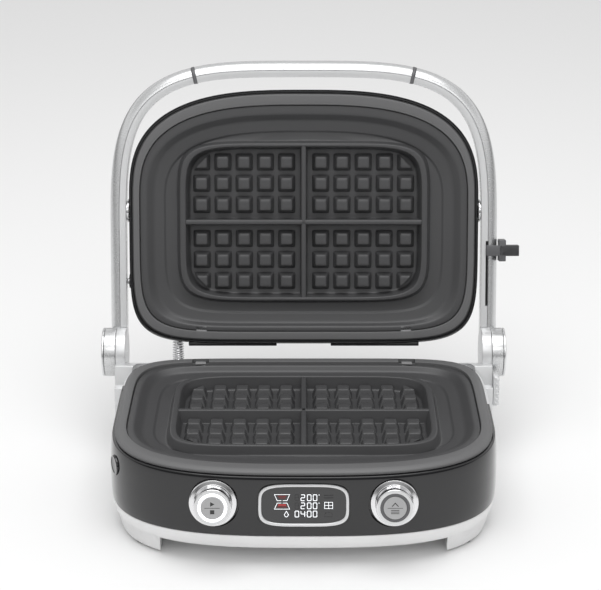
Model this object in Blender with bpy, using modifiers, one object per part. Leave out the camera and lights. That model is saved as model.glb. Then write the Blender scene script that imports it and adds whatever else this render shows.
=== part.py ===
# An open contact grill: a base with a lower waffle plate, two knobs and a display, and a floating lid
# between the arms of a loop handle that turns on two hubs at the rear corners.
# Everything is drawn as if the lid were closed, measured from the hinge axis: x to the right, l forward
# from the axis, and height above or below it. Two turned frames then open the lid.

import math

import bmesh
import bpy
from mathutils import Matrix, Vector

# Plan outlines: half width, front edge and rear edge, both measured forward from the hinge axis
RIM = (0.167, 0.251, 0.008)
PLAN_CENTRE = 0.143
FRONT_ROUNDNESS = 2.9
REAR_ROUNDNESS = 6.8
WELL_ROUNDNESS = 6.5
LOOP_POINTS = 36

# How far each line of the plates lies in from the one outside it: at the sides, front and rear
FACE_STEP = (0.0098, 0.014, 0.0112)
LEDGE_STEP = (0.0060, 0.0080, 0.0042)
SLOPE_STEP = (0.0068, 0.0064, 0.0032)
FLAT_STEP = (0.0095, 0.0095, 0.0089)
FLOOR_STEP = (0.0146, 0.0112, 0.0125)
RIDGE_STEP = (0.0089, 0.0052, 0.0052)

# Heights below or above the hinge axis
RIM_DROP = 0.00175
OPEN_ANGLE = math.radians(105)

# Clearances
GAP = 0.0003
PLATE_GAP = 0.0007
RUN_GAP = 0.0003
OVERRUN = 0.02

# Bezel rings
BEZEL_FACE = 0.0040
BEZEL_HEIGHT = 0.0044
BEZEL_LIP = 0.0042
BEZEL_LIP_SIZE = 0.0014
BEZEL_ROUND = 0.0012
BEZEL_EDGE = 0.0024
TAB_X = 0.0985
TAB_WIDTH = 0.0100
TAB_THICKNESS = 0.0016
TAB_LENGTH = 0.0100
TAB_RECESS = 0.0160

# Plates
FLANGE_DROP = 0.0022
FLANGE_THICKNESS = 0.0030
SLOPE_DROP = 0.0053
STEP_DROP = 0.0011
STEP_EDGE = 0.0012
STEP_WIDTH = 0.0018
RIDGE_DROP = 0.0008
WELL_DEPTH = 0.0140
PLATE_WALL = 0.0034
WELL_DRAFT = 0.0010
STUD_PITCH = 0.0204
STUD_FIRST = 0.0164
STUD_BASE = 0.0158
STUD_TOP = 0.0102
STUD_HEIGHT = 0.0088
STUD_MARGIN = 0.0015
DIVIDER_WIDTH = 0.0060
DIVIDER_TOP = 0.0046
DIVIDER_HEIGHT = 0.0128

# Heaters and reflectors
HEATER_RADIUS = 0.0033
HEATER_MARGIN = 0.018
HEATER_LEADS = 0.030
SHEET = 0.0010
REFLECTOR_STEP = (0.0030, 0.0110, 0.0030)
REFLECTOR_FLANGE = 0.0050
REFLECTOR_WALL = 0.0110
REFLECTOR_DRAFT = 0.0030

# Base shell: how far the wall stands out from the rim at each depth below the axis
WALL = 0.0025
SHELL_TOP = 0.0065
SHELL_BOTTOM = 0.0613
SHELL_DEPTHS = (SHELL_TOP, 0.0120, 0.0200, 0.0360, 0.0520, SHELL_BOTTOM)
SHELL_BULGES = (0.0024, 0.0036, 0.0043, 0.0048, 0.0048, 0.0042)
DECK_WIDTH = 0.0084
DECK_THICKNESS = 0.0020
BAND_END_LEFT = 0.065
BAND_END_RIGHT = 0.106

# Tray and feet
TRAY_DEPTHS = (0.0616, 0.0690, 0.0745, 0.0765)
TRAY_BULGES = (0.0040, 0.0032, 0.0010, -0.0040)
FOOT_HEIGHT = 0.0138
PAD_THICKNESS = 0.0014
FOOT_BOTTOM = TRAY_DEPTHS[-1] + FOOT_HEIGHT
HINGE_HEIGHT = FOOT_BOTTOM + GAP + PAD_THICKNESS
FOOT_WIDTH = 0.020
FOOT_DRAFT = 0.0040
FOOT_X = 0.124
FOOT_REACH_FRONT = 0.068
FOOT_REACH_REAR = 0.030
PAD_RADIUS = 0.0065
PAD_INSET = 0.0115
POST_RADIUS = 0.0040
POST_X = 0.090
POST_SPREAD = 0.065

# Hubs, ears and arms
DISC_RADIUS = 0.0233
DISC_CLEARANCE = 0.0030
DISC_THICKNESS = 0.0094
HUB_THICKNESS = 0.0136
DISC_INNER = RIM[0] + DISC_CLEARANCE
SPLIT = DISC_INNER + DISC_THICKNESS
HUB_OUTER = SPLIT + HUB_THICKNESS
CAP_THICKNESS = 0.0024
CHAMFER = 0.0008
EAR_WIDTH = 0.0469
EAR_INNER = SPLIT - EAR_WIDTH
EAR_TOP = 0.0020
EAR_LEDGE = 0.0195
EAR_FRONT = 0.030
EAR_SLANT = 0.035
EAR_LEDGE_FRONT = 0.043
EAR_REAR = 0.006
EAR_BACK = 0.024
EAR_BACK_DROP = 0.014
EAR_GAP = 0.0004
EAR_CORNER = 0.012
PIN_RADIUS = 0.0060
PIN_START = 0.0020
PIN_GAP = 0.0003

# Handle: a bar swept along its outer edge, with a flat strip let into its inner side
ARM_CLEARANCE = 0.0034
GRIP_CLEARANCE = 0.0121
ARM_CENTRE = 0.100
ARM_ROUNDNESS = 3.7
ARM_FACE = 0.0010
ARM_WIDTH = 0.0156
ARM_HALF = RIM[0] + ARM_CLEARANCE + ARM_WIDTH
ARM_FRONT = RIM[1] + GRIP_CLEARANCE + ARM_WIDTH
ARM_THICKNESS = 0.0200
STRIP_WIDTH = 0.0066
STRIP_DEPTH = 0.0030
STRIP_THICKNESS = 0.0021
COLLAR_X = 0.106
COLLAR_WIDTH = 0.0032
COLLAR_PROUD = 0.0004
BULGE_POINTS = 7
ARM_STATIONS = 15
GRIP_STATIONS = 12

# Lid
COVER_WALL = 0.0025
COVER_HEIGHT = 0.0460
PIVOT_FORWARD = 0.1355
PIVOT_RISE = 0.011
PIVOT_RADIUS = 0.0112
PIVOT_PIN_RADIUS = 0.0045
BOSS_THICKNESS = 0.0012
REAR_PAD_SPAN = (0.026, 0.111)
REAR_PAD_PROUD = 0.0026
REAR_PAD_HEIGHT = 0.0060

# Levers
SLOT_INSET = 0.0100
SLOT_X = ARM_HALF - SLOT_INSET
SLOT_WIDTH = 0.0028
SLOT_FROM = 0.044
SLOT_TO = 0.107
SLOT_DEPTH = 0.0062
LEVER_AT = 0.098
LEVER_WIDTH = 0.0102
LEVER_REACH = 0.0202
LEVER_CLEARANCE = 0.0009
LEVER_TIP = ARM_HALF + LEVER_REACH
LEVER_FLANGE_X = ARM_HALF + LEVER_CLEARANCE
LEVER_FLANGE_WIDTH = 0.0067
LEVER_FLANGE_LENGTH = 0.0206
LEVER_BACK = 0.0130
LEVER_FRONT = 0.0026
LEVER_TIP_BACK = 0.0080
RELEASE_FRONT = 0.0420
RELEASE_REAR = 0.0280
RELEASE_TOP = 0.0080
RELEASE_BOTTOM = 0.0380
RELEASE_THICKNESS = 0.0046
RELEASE_TRAVEL = 0.0060
RIB_COUNT = 6
RIB_PROUD = 0.0010
RIB_WIDTH = 0.0022

# Knobs and display, each on a seat sunk into the band and tilted up
PANEL_TILT = math.radians(10)
KNOB_X = 0.0766
PANEL_DEPTH = 0.0324
SEAT_SINK = 0.0040
SEAT_GAP = 0.0017
SEAT_WALL = 0.0016
SEAT_FLOOR = 0.0022
SKIRT_RADIUS = 0.0205
SKIRT_HEIGHT = 0.0040
BARREL_RADIUS = 0.0159
KNOB_HEIGHT = 0.0170
RING_OUTER = 0.0122
RING_INNER = 0.01015
BUTTON_PROUD = 0.0006
BUTTON_SEAT = 0.0060
BUTTON_TRAVEL = 0.0010
SHAFT_RADIUS = 0.0032
ENCODER_RADIUS = 0.0090
ENCODER_LENGTH = 0.0070
DISPLAY_HALF = (0.03835, 0.0187)
DISPLAY_ROUNDNESS = 4.2
DISPLAY_FRAME = 0.0026
DISPLAY_HEIGHT = 0.0032
WINDOW_HEIGHT = 0.0016
DISPLAY_SINK = 0.0034
DISPLAY_POINTS = 28

# Plate release buttons
RELEASE_BUTTON_RADIUS = 0.0087
RELEASE_BUTTON_FORWARD = 0.195
RELEASE_BUTTON_DEPTH = 0.0230
RELEASE_BUTTON_PROUD = 0.0016
RELEASE_BUTTON_INSIDE = 0.0060
LID_BUTTON_FORWARD = 0.067
LID_BUTTON_RISE = 0.0165
LID_BUTTON_RADIUS = 0.0070

# Boards, gland and conduit
BOARD = 0.0016
CONTROL_HALF = 0.105
CONTROL_HEIGHT = 0.026
CONTROL_FORWARD = 0.2345
POWER_WIDTH = 0.110
POWER_LENGTH = 0.070
POWER_FORWARD = 0.110
POWER_RAISE = 0.0100
GLAND_X = 0.060
GLAND_RADIUS = 0.0080
GLAND_CLEARANCE = 0.0036
GLAND_DEPTH = TRAY_DEPTHS[0] - GLAND_RADIUS - GLAND_CLEARANCE
GLAND_PROUD = 0.0100
HOSE_X = -0.1228
HOSE_RADIUS = 0.0058
HOSE_BORE = 0.0040
HOSE_RIBS = 14
HOSE_RIB_DEPTH = 0.0007
HOSE_OUT = 0.014
HOSE_TOP = 0.010
HOSE_RISE = 0.0270
HOSE_SLOT = 0.0130
GROMMET_WALL = 0.0022
GROMMET_PROUD = 0.0030
GROMMET_CLEARANCE = 0.0076
HOSE_EXIT = TRAY_DEPTHS[0] - HOSE_RADIUS - GROMMET_WALL - GROMMET_CLEARANCE

# Colour, roughness and metallic value of each finish
FINISHES = {
    "silver": ((0.62, 0.63, 0.64), 0.36, 0.75),
    "brushed": ((0.66, 0.67, 0.68), 0.28, 1.0),
    "bright": ((0.74, 0.75, 0.76), 0.14, 1.0),
    "black_gloss": ((0.010, 0.010, 0.011), 0.08, 0.0),
    "dark_plastic": ((0.085, 0.087, 0.090), 0.55, 0.0),
    "nonstick": ((0.060, 0.062, 0.065), 0.48, 0.1),
    "collar": ((0.16, 0.16, 0.17), 0.40, 0.4),
    "rubber": ((0.03, 0.03, 0.03), 0.85, 0.0),
    "sheet": ((0.58, 0.59, 0.60), 0.40, 1.0),
    "board": ((0.05, 0.20, 0.09), 0.55, 0.0),
    "light": ((0.92, 0.93, 0.95), 0.40, 0.0),
    "window": ((0.012, 0.012, 0.014), 0.06, 0.0),
    "element": ((0.20, 0.19, 0.18), 0.60, 0.6),
}

SIDES = (("left", -1), ("right", 1))
ACROSS = Vector((1, 0, 0))

for old in list(bpy.data.objects):
    bpy.data.objects.remove(old)

parts = bpy.data.collections.new("multi_grill")
cutters = bpy.data.collections.new("cutters")
bpy.context.scene.collection.children.link(parts)
bpy.context.scene.collection.children.link(cutters)


def empty(name, parent=None, location=(0, 0, 0), turn=(0, 0, 0)):
    frame = bpy.data.objects.new(name, None)
    frame.location = location
    frame.rotation_euler = turn
    frame.parent = parent
    parts.objects.link(frame)
    return frame


def finish(name):
    material = bpy.data.materials.get(name) or bpy.data.materials.new(name)
    colour, roughness, metallic = FINISHES[name]
    material.use_nodes = True
    shader = material.node_tree.nodes["Principled BSDF"]
    shader.inputs["Base Color"].default_value = (*colour, 1)
    shader.inputs["Roughness"].default_value = roughness
    shader.inputs["Metallic"].default_value = metallic
    return material


def seat(part, parent, look, shift=(0, 0, 0)):
    """Puts a finished shape under its frame, with its own material."""
    parts.objects.link(part)
    part.parent = parent
    part.location = shift
    own = finish(look).copy()
    own.name = part.name
    part.data.materials.append(own)
    return part


def tool(shape, parent=None):
    """Keeps a cutter or a shape to be joined out of the render."""
    cutters.objects.link(shape)
    shape.hide_render = True
    shape.display_type = "WIRE"
    shape.parent = parent
    return shape


def boolean(part, other, kind):
    change = part.modifiers.new(kind.lower(), "BOOLEAN")
    change.operation = kind
    change.object = other
    change.solver = "EXACT"
    return part


def cut(part, *others):
    for other in others:
        boolean(part, other, "DIFFERENCE")
    return part


def join(part, *others):
    for other in others:
        boolean(part, other, "UNION")
    return part


def keep(part, other):
    return boolean(part, other, "INTERSECT")


def from_bmesh(name, shape, smooth=True):
    bmesh.ops.recalc_face_normals(shape, faces=shape.faces)
    mesh = bpy.data.meshes.new(name)
    shape.to_mesh(mesh)
    shape.free()
    if smooth:
        mesh.shade_smooth()
        mesh.set_sharp_from_angle(angle=math.radians(35))
    return bpy.data.objects.new(name, mesh)


def step_in(outline, step, share=1.0):
    """A plan outline drawn in by its own step at the sides, front and rear."""
    half, front, rear = outline
    side_step, front_step, rear_step = step
    return (half - side_step * share, front - front_step * share, rear + rear_step * share)


def grow(outline, amount):
    return step_in(outline, (-amount, -amount, -amount))


def superellipse(angle, roundness):
    power = 2 / roundness
    across = math.copysign(abs(math.cos(angle)) ** power, math.cos(angle))
    along = math.copysign(abs(math.sin(angle)) ** power, math.sin(angle))
    return across, along


def plan_loop(outline, height, well=False, count=LOOP_POINTS):
    """The points of a plan outline at one height. A well outline is symmetric, the others are not."""
    half, front, rear = outline
    centre = (front + rear) / 2 if well else PLAN_CENTRE
    points = []
    for i in range(count):
        angle = 2 * math.pi * i / count
        roundness = FRONT_ROUNDNESS if math.sin(angle) > 0 else REAR_ROUNDNESS
        if well:
            roundness = WELL_ROUNDNESS
        across, along = superellipse(angle, roundness)
        reach = (front - centre) if along > 0 else (centre - rear)
        points.append(Vector((half * across, -(centre + reach * along), height)))
    return points


def skin(name, loops, ring=False, smooth=True):
    """A closed solid through loops of equal count: capped at both ends, or joined end to end as a ring."""
    shape = bmesh.new()
    rows = [[shape.verts.new(p) for p in loop] for loop in loops]
    pairs = list(zip(rows, rows[1:]))
    if ring:
        pairs.append((rows[-1], rows[0]))
    for low, high in pairs:
        count = len(low)
        for i in range(count):
            j = (i + 1) % count
            shape.faces.new((low[i], low[j], high[j], high[i]))
    if not ring:
        shape.faces.new(rows[0])
        shape.faces.new(rows[-1])
    return from_bmesh(name, shape, smooth)


def prism(name, outline, low, high, axis="Z"):
    """A flat outline carried between two levels along Z or X."""
    shape = bmesh.new()
    if axis == "Z":
        place = lambda a, b, level: Vector((a, b, level))
    else:
        place = lambda a, b, level: Vector((level, a, b))
    bottom = [shape.verts.new(place(a, b, low)) for a, b in outline]
    top = [shape.verts.new(place(a, b, high)) for a, b in outline]
    count = len(outline)
    for i in range(count):
        j = (i + 1) % count
        shape.faces.new((bottom[i], bottom[j], top[j], top[i]))
    shape.faces.new(bottom)
    shape.faces.new(top)
    return from_bmesh(name, shape, smooth=False)


def box(name, low, high, bevel=0):
    shape = bmesh.new()
    bmesh.ops.create_cube(shape, size=1)
    low, high = Vector(low), Vector(high)
    size = high - low
    bmesh.ops.scale(shape, vec=size, verts=shape.verts)
    bmesh.ops.translate(shape, vec=(low + high) / 2, verts=shape.verts)
    part = from_bmesh(name, shape, smooth=False)
    if bevel:
        edge = part.modifiers.new("bevel", "BEVEL")
        edge.width = bevel
        edge.segments = 1
    return part


def cylinder(name, radius, start, end, axis="Z", at=(0, 0, 0), chamfer=0, count=20):
    """A round bar between two levels along Z, X or Y, with an optional edge chamfer."""
    shape = bmesh.new()
    length = abs(end - start)
    bmesh.ops.create_cone(
        shape, cap_ends=True, segments=count, radius1=radius, radius2=radius, depth=length
    )
    if chamfer:
        rims = [e for e in shape.edges if abs(e.verts[0].co.z - e.verts[1].co.z) < length / 2]
        bmesh.ops.bevel(shape, geom=rims, offset=chamfer, segments=1, affect="EDGES")
    bmesh.ops.translate(shape, vec=(0, 0, (start + end) / 2), verts=shape.verts)
    turn = {
        "X": Matrix.Rotation(math.pi / 2, 4, "Y"),
        "Y": Matrix.Rotation(-math.pi / 2, 4, "X"),
        "Z": Matrix.Identity(4),
    }[axis]
    bmesh.ops.transform(shape, matrix=Matrix.Translation(at) @ turn, verts=shape.verts)
    return from_bmesh(name, shape)


def turned(name, profile, steps=20):
    """A profile of (radius, height) pairs, closed on itself, turned about Z with a Screw modifier."""
    shape = bmesh.new()
    points = [shape.verts.new((radius, 0, height)) for radius, height in profile]
    for i, point in enumerate(points):
        shape.edges.new((point, points[(i + 1) % len(points)]))
    mesh = bpy.data.meshes.new(name)
    shape.to_mesh(mesh)
    shape.free()
    part = bpy.data.objects.new(name, mesh)
    screw = part.modifiers.new("turn", "SCREW")
    screw.steps = steps
    screw.render_steps = steps
    screw.use_merge_vertices = True
    screw.merge_threshold = 0.00001
    screw.use_smooth_shade = True
    return part


# Frames: the base hangs from the hinge axis, the handle turns about it, and the lid tilts in the handle
root = empty("grill_root")
base = empty("base_frame", root, (0, 0, HINGE_HEIGHT))
handle = empty("handle_frame", base, turn=(-OPEN_ANGLE, 0, 0))
PIVOT = Vector((0, -PIVOT_FORWARD, PIVOT_RISE))
lid_pivot = empty("lid_frame", handle, PIVOT)
lid = empty("lid_space", lid_pivot, -PIVOT)

# Outlines that the plates, bezels and shells share
MOUTH = step_in(RIM, FACE_STEP)
PLATE_EDGE = grow(MOUTH, -PLATE_GAP)
SLOPE_LINE = step_in(PLATE_EDGE, LEDGE_STEP)
FLAT_LINE = step_in(SLOPE_LINE, SLOPE_STEP)
STEP_LINE = step_in(FLAT_LINE, FLAT_STEP)
RIDGE_LINE = step_in(STEP_LINE, FLOOR_STEP)
WELL_LINE = step_in(RIDGE_LINE, RIDGE_STEP)
WELL_CENTRE = (WELL_LINE[1] + WELL_LINE[2]) / 2
FLAT_DROP = FLANGE_DROP + SLOPE_DROP + STEP_DROP + STEP_EDGE
LIP_TOP = FLANGE_DROP + FLANGE_THICKNESS + GAP
LIP_BOTTOM = LIP_TOP + BEZEL_LIP_SIZE
DECK_TOP = RIM_DROP + LIP_BOTTOM + GAP
PAN_DEPTH = RIM_DROP + WELL_DEPTH + PLATE_WALL + 2 * GAP + 2 * HEATER_RADIUS + SHEET
BOARD_TOP = -PAN_DEPTH - GAP - POST_RADIUS


def stud_places():
    """Centres of the studs across and along the well, as many as fit between divider and wall."""
    half = WELL_LINE[0] - WELL_DRAFT - STUD_MARGIN - STUD_BASE / 2
    depth = (WELL_LINE[1] - WELL_LINE[2]) / 2 - WELL_DRAFT - STUD_MARGIN - STUD_BASE / 2
    across = [STUD_FIRST + STUD_PITCH * i for i in range(int((half - STUD_FIRST) / STUD_PITCH) + 1)]
    along = [STUD_FIRST + STUD_PITCH * i for i in range(int((depth - STUD_FIRST) / STUD_PITCH) + 1)]
    return across, along


def stud_field(name, side, drop):
    """Every stud of a plate and the cross between the four fields, as one tool to join to the plate."""
    shape = bmesh.new()
    across, along = stud_places()
    floor = -side * (drop + WELL_DEPTH)
    sunk = PLATE_WALL / 2
    slant = (STUD_BASE - STUD_TOP) / 2 / STUD_HEIGHT
    foot = STUD_BASE / 2 + slant * sunk
    middle = floor + side * (STUD_HEIGHT - sunk) / 2
    for x in across:
        for y in along:
            for sx in (-1, 1):
                for sy in (-1, 1):
                    made = bmesh.ops.create_cone(
                        shape,
                        cap_ends=True,
                        segments=4,
                        radius1=foot * math.sqrt(2),
                        radius2=STUD_TOP / 2 * math.sqrt(2),
                        depth=STUD_HEIGHT + sunk,
                    )
                    verts = made["verts"]
                    turn = Matrix.Rotation(math.pi / 4, 4, "Z")
                    flip = Matrix.Scale(side, 4, (0, 0, 1))
                    spot = Matrix.Translation((sx * x, sy * y - WELL_CENTRE, middle))
                    bmesh.ops.transform(shape, matrix=spot @ flip @ turn, verts=verts)
                    if x == across[-1] and y == along[-1]:
                        edges = {e for v in verts for e in v.link_edges}
                        faces = {f for v in verts for f in v.link_faces}
                        halved = bmesh.ops.bisect_plane(
                            shape,
                            geom=list(verts) + list(edges) + list(faces),
                            plane_co=spot.translation,
                            plane_no=(sx, sy, 0),
                            clear_outer=True,
                        )
                        rim = [e for e in halved["geom_cut"] if isinstance(e, bmesh.types.BMEdge)]
                        bmesh.ops.holes_fill(shape, edges=rim)
    return from_bmesh(name, shape, smooth=False)


def divider(name, side, drop, along_x):
    """One arm of the cross that parts the fields: a bar with sloping sides between the well walls."""
    floor = -side * (drop + WELL_DEPTH + PLATE_WALL / 2)
    top = -side * (drop + WELL_DEPTH - DIVIDER_HEIGHT)
    wide, narrow = DIVIDER_WIDTH / 2, DIVIDER_TOP / 2
    reach = WELL_LINE[0] if along_x else (WELL_LINE[1] - WELL_LINE[2]) / 2
    reach += RIDGE_STEP[2] / 2
    section = ((-wide, floor), (wide, floor), (narrow, top), (-narrow, top))
    if along_x:
        return prism(name, [(y - WELL_CENTRE, z) for y, z in section], -reach, reach, "X")
    bar = prism(name, section, -reach, reach, "X")
    bar.data.transform(Matrix.Translation((0, -WELL_CENTRE, 0)) @ Matrix.Rotation(math.pi / 2, 4, "Z"))
    return bar


def grill_plate(name, parent, side, drop):
    """A cast plate: flange, slope, step, raised ridge, well, studs. side is 1 facing up, -1 facing down."""
    def at(depth):
        return -side * (drop + depth)

    ridge_top = step_in(RIDGE_LINE, RIDGE_STEP, 0.15)
    ridge_back = step_in(RIDGE_LINE, RIDGE_STEP, 0.75)
    ridge_foot = step_in(RIDGE_LINE, RIDGE_STEP, -0.2)
    upper = [
        plan_loop(PLATE_EDGE, at(FLANGE_DROP)),
        plan_loop(SLOPE_LINE, at(FLANGE_DROP)),
        plan_loop(FLAT_LINE, at(FLANGE_DROP + SLOPE_DROP)),
        plan_loop(STEP_LINE, at(FLANGE_DROP + SLOPE_DROP + STEP_DROP)),
        plan_loop(grow(STEP_LINE, -STEP_WIDTH), at(FLAT_DROP)),
        plan_loop(ridge_foot, at(FLAT_DROP), well=True),
        plan_loop(ridge_top, at(RIDGE_DROP), well=True),
        plan_loop(ridge_back, at(RIDGE_DROP), well=True),
        plan_loop(grow(WELL_LINE, -WELL_DRAFT), at(WELL_DEPTH), well=True),
    ]
    under = FLANGE_DROP + FLANGE_THICKNESS
    lower = [
        plan_loop(PLATE_EDGE, at(under)),
        plan_loop(grow(SLOPE_LINE, -GAP), at(under)),
        plan_loop(grow(FLAT_LINE, -GAP), at(under + SLOPE_DROP)),
        plan_loop(ridge_foot, at(FLAT_DROP + PLATE_WALL), well=True),
        plan_loop(grow(WELL_LINE, PLATE_WALL), at(WELL_DEPTH + PLATE_WALL), well=True),
    ]
    plate = skin(name, upper[::-1] + lower)
    join(plate, tool(stud_field(name + "_studs", side, drop), parent))
    join(plate, tool(divider(name + "_cross", side, drop, True), parent))
    join(plate, tool(divider(name + "_bar", side, drop, False), parent))
    tab_top = at(FLANGE_DROP)
    tab_low = at(FLANGE_DROP + TAB_THICKNESS)
    for label, mirror in SIDES:
        tab = box(
            f"{name}_{label}_tab",
            (mirror * TAB_X - TAB_WIDTH / 2, -MOUTH[2] - TAB_LENGTH / 2, min(tab_top, tab_low)),
            (mirror * TAB_X + TAB_WIDTH / 2, -MOUTH[2] + TAB_LENGTH / 2, max(tab_top, tab_low)),
        )
        join(plate, tool(tab, parent))
    return seat(plate, parent, "nonstick")


def bezel_ring(name, parent, side, drop, outer):
    """The matte ring round a plate, with the lip that its flange rests on. outer is the side wall."""
    def at(depth):
        return -side * (drop + depth)

    face = step_in(RIM, (BEZEL_FACE, BEZEL_FACE + GAP, BEZEL_FACE))
    loops = [
        plan_loop(MOUTH, at(LIP_TOP)),
        plan_loop(MOUTH, at(0)),
        plan_loop(face, at(0)),
        plan_loop(grow(outer, -BEZEL_ROUND), at(BEZEL_EDGE / 2)),
        plan_loop(outer, at(BEZEL_EDGE)),
        plan_loop(outer, at(BEZEL_HEIGHT)),
        plan_loop(grow(MOUTH, BEZEL_LIP), at(BEZEL_HEIGHT)),
        plan_loop(grow(MOUTH, BEZEL_LIP), at(LIP_BOTTOM)),
        plan_loop(grow(MOUTH, -BEZEL_LIP), at(LIP_BOTTOM)),
        plan_loop(grow(MOUTH, -BEZEL_LIP), at(LIP_TOP)),
    ]
    ring = skin(name, loops, ring=True)
    for label, mirror in SIDES:
        top, low = at(-OVERRUN), at(FLANGE_DROP + TAB_THICKNESS + GAP)
        recess = box(
            f"{name}_{label}_recess",
            (mirror * TAB_X - TAB_RECESS / 2, -MOUTH[2] - TAB_LENGTH, min(top, low)),
            (mirror * TAB_X + TAB_RECESS / 2, -MOUTH[2] + TAB_LENGTH / 2 + GAP, max(top, low)),
        )
        cut(ring, tool(recess, parent))
    return seat(ring, parent, "dark_plastic")


def reflector(name, parent, side, drop, flange):
    """A thin pan under the plate, hung by its flange."""
    def at(depth):
        return -side * (drop + depth)

    deep = WELL_DEPTH + PLATE_WALL + GAP + 2 * HEATER_RADIUS + GAP
    outer = step_in(RIM, REFLECTOR_STEP)
    mouth = grow(outer, -REFLECTOR_FLANGE - REFLECTOR_WALL / 2)
    foot = grow(mouth, -REFLECTOR_DRAFT)
    upper = [
        plan_loop(outer, at(flange)),
        plan_loop(mouth, at(flange)),
        plan_loop(foot, at(deep)),
    ]
    lower = [
        plan_loop(outer, at(flange + SHEET)),
        plan_loop(grow(mouth, SHEET), at(flange + SHEET)),
        plan_loop(grow(foot, SHEET), at(deep + SHEET)),
    ]
    return seat(skin(name, upper[::-1] + lower), parent, "sheet")


def heater(name, parent, side, drop):
    """A sheathed element: an open loop under the well, its two ends led back side by side."""
    level = -side * (drop + WELL_DEPTH + PLATE_WALL + GAP + HEATER_RADIUS)
    outline = grow(WELL_LINE, -HEATER_MARGIN)
    loop = plan_loop(outline, level, well=True, count=LOOP_POINTS // 2)
    start = 3 * len(loop) // 4
    route = loop[start + 1:] + loop[:start]
    lead = WELL_LINE[2] + HEATER_MARGIN
    route = [Vector((HEATER_LEADS / 2, -lead, level))] + route
    route = route + [Vector((-HEATER_LEADS / 2, -lead, level))]
    curve = bpy.data.curves.new(name, "CURVE")
    curve.dimensions = "3D"
    curve.bevel_depth = HEATER_RADIUS
    curve.bevel_resolution = 1
    curve.use_fill_caps = True
    spline = curve.splines.new("POLY")
    spline.points.add(len(route) - 1)
    for point, place in zip(spline.points, route):
        point.co = (*place, 1)
    return seat(bpy.data.objects.new(name, curve), parent, "element")


def shell_loops(gap=0.0):
    return [plan_loop(grow(RIM, b + gap), -d) for d, b in zip(SHELL_DEPTHS, SHELL_BULGES)]


def base_shell(name):
    """The wall round the base with the deck that carries the bezel, before it is parted front from rear."""
    deck = DECK_TOP
    inner = grow(MOUTH, -DECK_WIDTH / 2)
    step = grow(MOUTH, BEZEL_LIP + GAP)
    inside = [plan_loop(grow(RIM, b - WALL), -d) for d, b in zip(SHELL_DEPTHS, SHELL_BULGES)][1:]
    loops = [
        *shell_loops(),
        *inside[::-1],
        plan_loop(grow(RIM, SHELL_BULGES[0] - WALL), -deck - DECK_THICKNESS),
        plan_loop(inner, -deck - DECK_THICKNESS),
        plan_loop(inner, -deck),
        plan_loop(step, -deck),
        plan_loop(step, -SHELL_TOP),
    ]
    return skin(name, loops, ring=True)


def parting(name, shift):
    """The region behind the ends of the front band. shift moves its edge towards the front."""
    far = RIM[1]
    outline = (
        (-far, -BAND_END_LEFT - shift),
        (0, -BAND_END_LEFT - shift),
        (0, -BAND_END_RIGHT - shift),
        (far, -BAND_END_RIGHT - shift),
        (far, far),
        (-far, far),
    )
    return prism(name, outline, -HINGE_HEIGHT, OVERRUN)


def panel_frame(name, x, sink):
    """A frame on the front of the band, its Z pointing out of the seat and tilted up."""
    across = abs(x / RIM[0]) ** FRONT_ROUNDNESS
    reach = (RIM[1] - PLAN_CENTRE) * (1 - across) ** (1 / FRONT_ROUNDNESS)
    forward = PLAN_CENTRE + reach + SHELL_BULGES[3] - sink
    turn = (math.pi / 2 - PANEL_TILT, 0, 0)
    return empty(name, base, (x, -forward, -PANEL_DEPTH), turn)


def squircle(inset, count=DISPLAY_POINTS):
    half_x, half_y = (h - inset for h in DISPLAY_HALF)
    points = []
    for i in range(count):
        across, along = superellipse(2 * math.pi * i / count, DISPLAY_ROUNDNESS)
        points.append((half_x * across, half_y * along))
    return points


knob_frames = {label: panel_frame(f"{label}_knob_frame", m * KNOB_X, SEAT_SINK) for label, m in SIDES}
display_frame = panel_frame("display_frame", 0, DISPLAY_SINK)

# The plan angle at which the release button sits on the left of the band
BUTTON_ALONG = (RELEASE_BUTTON_FORWARD - PLAN_CENTRE) / (RIM[1] - PLAN_CENTRE)
BUTTON_ACROSS = (1 - BUTTON_ALONG ** FRONT_ROUNDNESS) ** (1 / FRONT_ROUNDNESS)
BUTTON_TURN = math.atan2(
    BUTTON_ALONG ** (FRONT_ROUNDNESS - 1) / (RIM[1] - PLAN_CENTRE),
    BUTTON_ACROSS ** (FRONT_ROUNDNESS - 1) / RIM[0],
)
button_frame = empty(
    "release_button_frame",
    base,
    (-RIM[0] * BUTTON_ACROSS - SHELL_BULGES[2] * math.cos(BUTTON_TURN),
     -RELEASE_BUTTON_FORWARD - SHELL_BULGES[2] * math.sin(BUTTON_TURN), -RELEASE_BUTTON_DEPTH),
    (math.pi / 2, 0, -math.pi / 2 + BUTTON_TURN),
)


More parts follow.
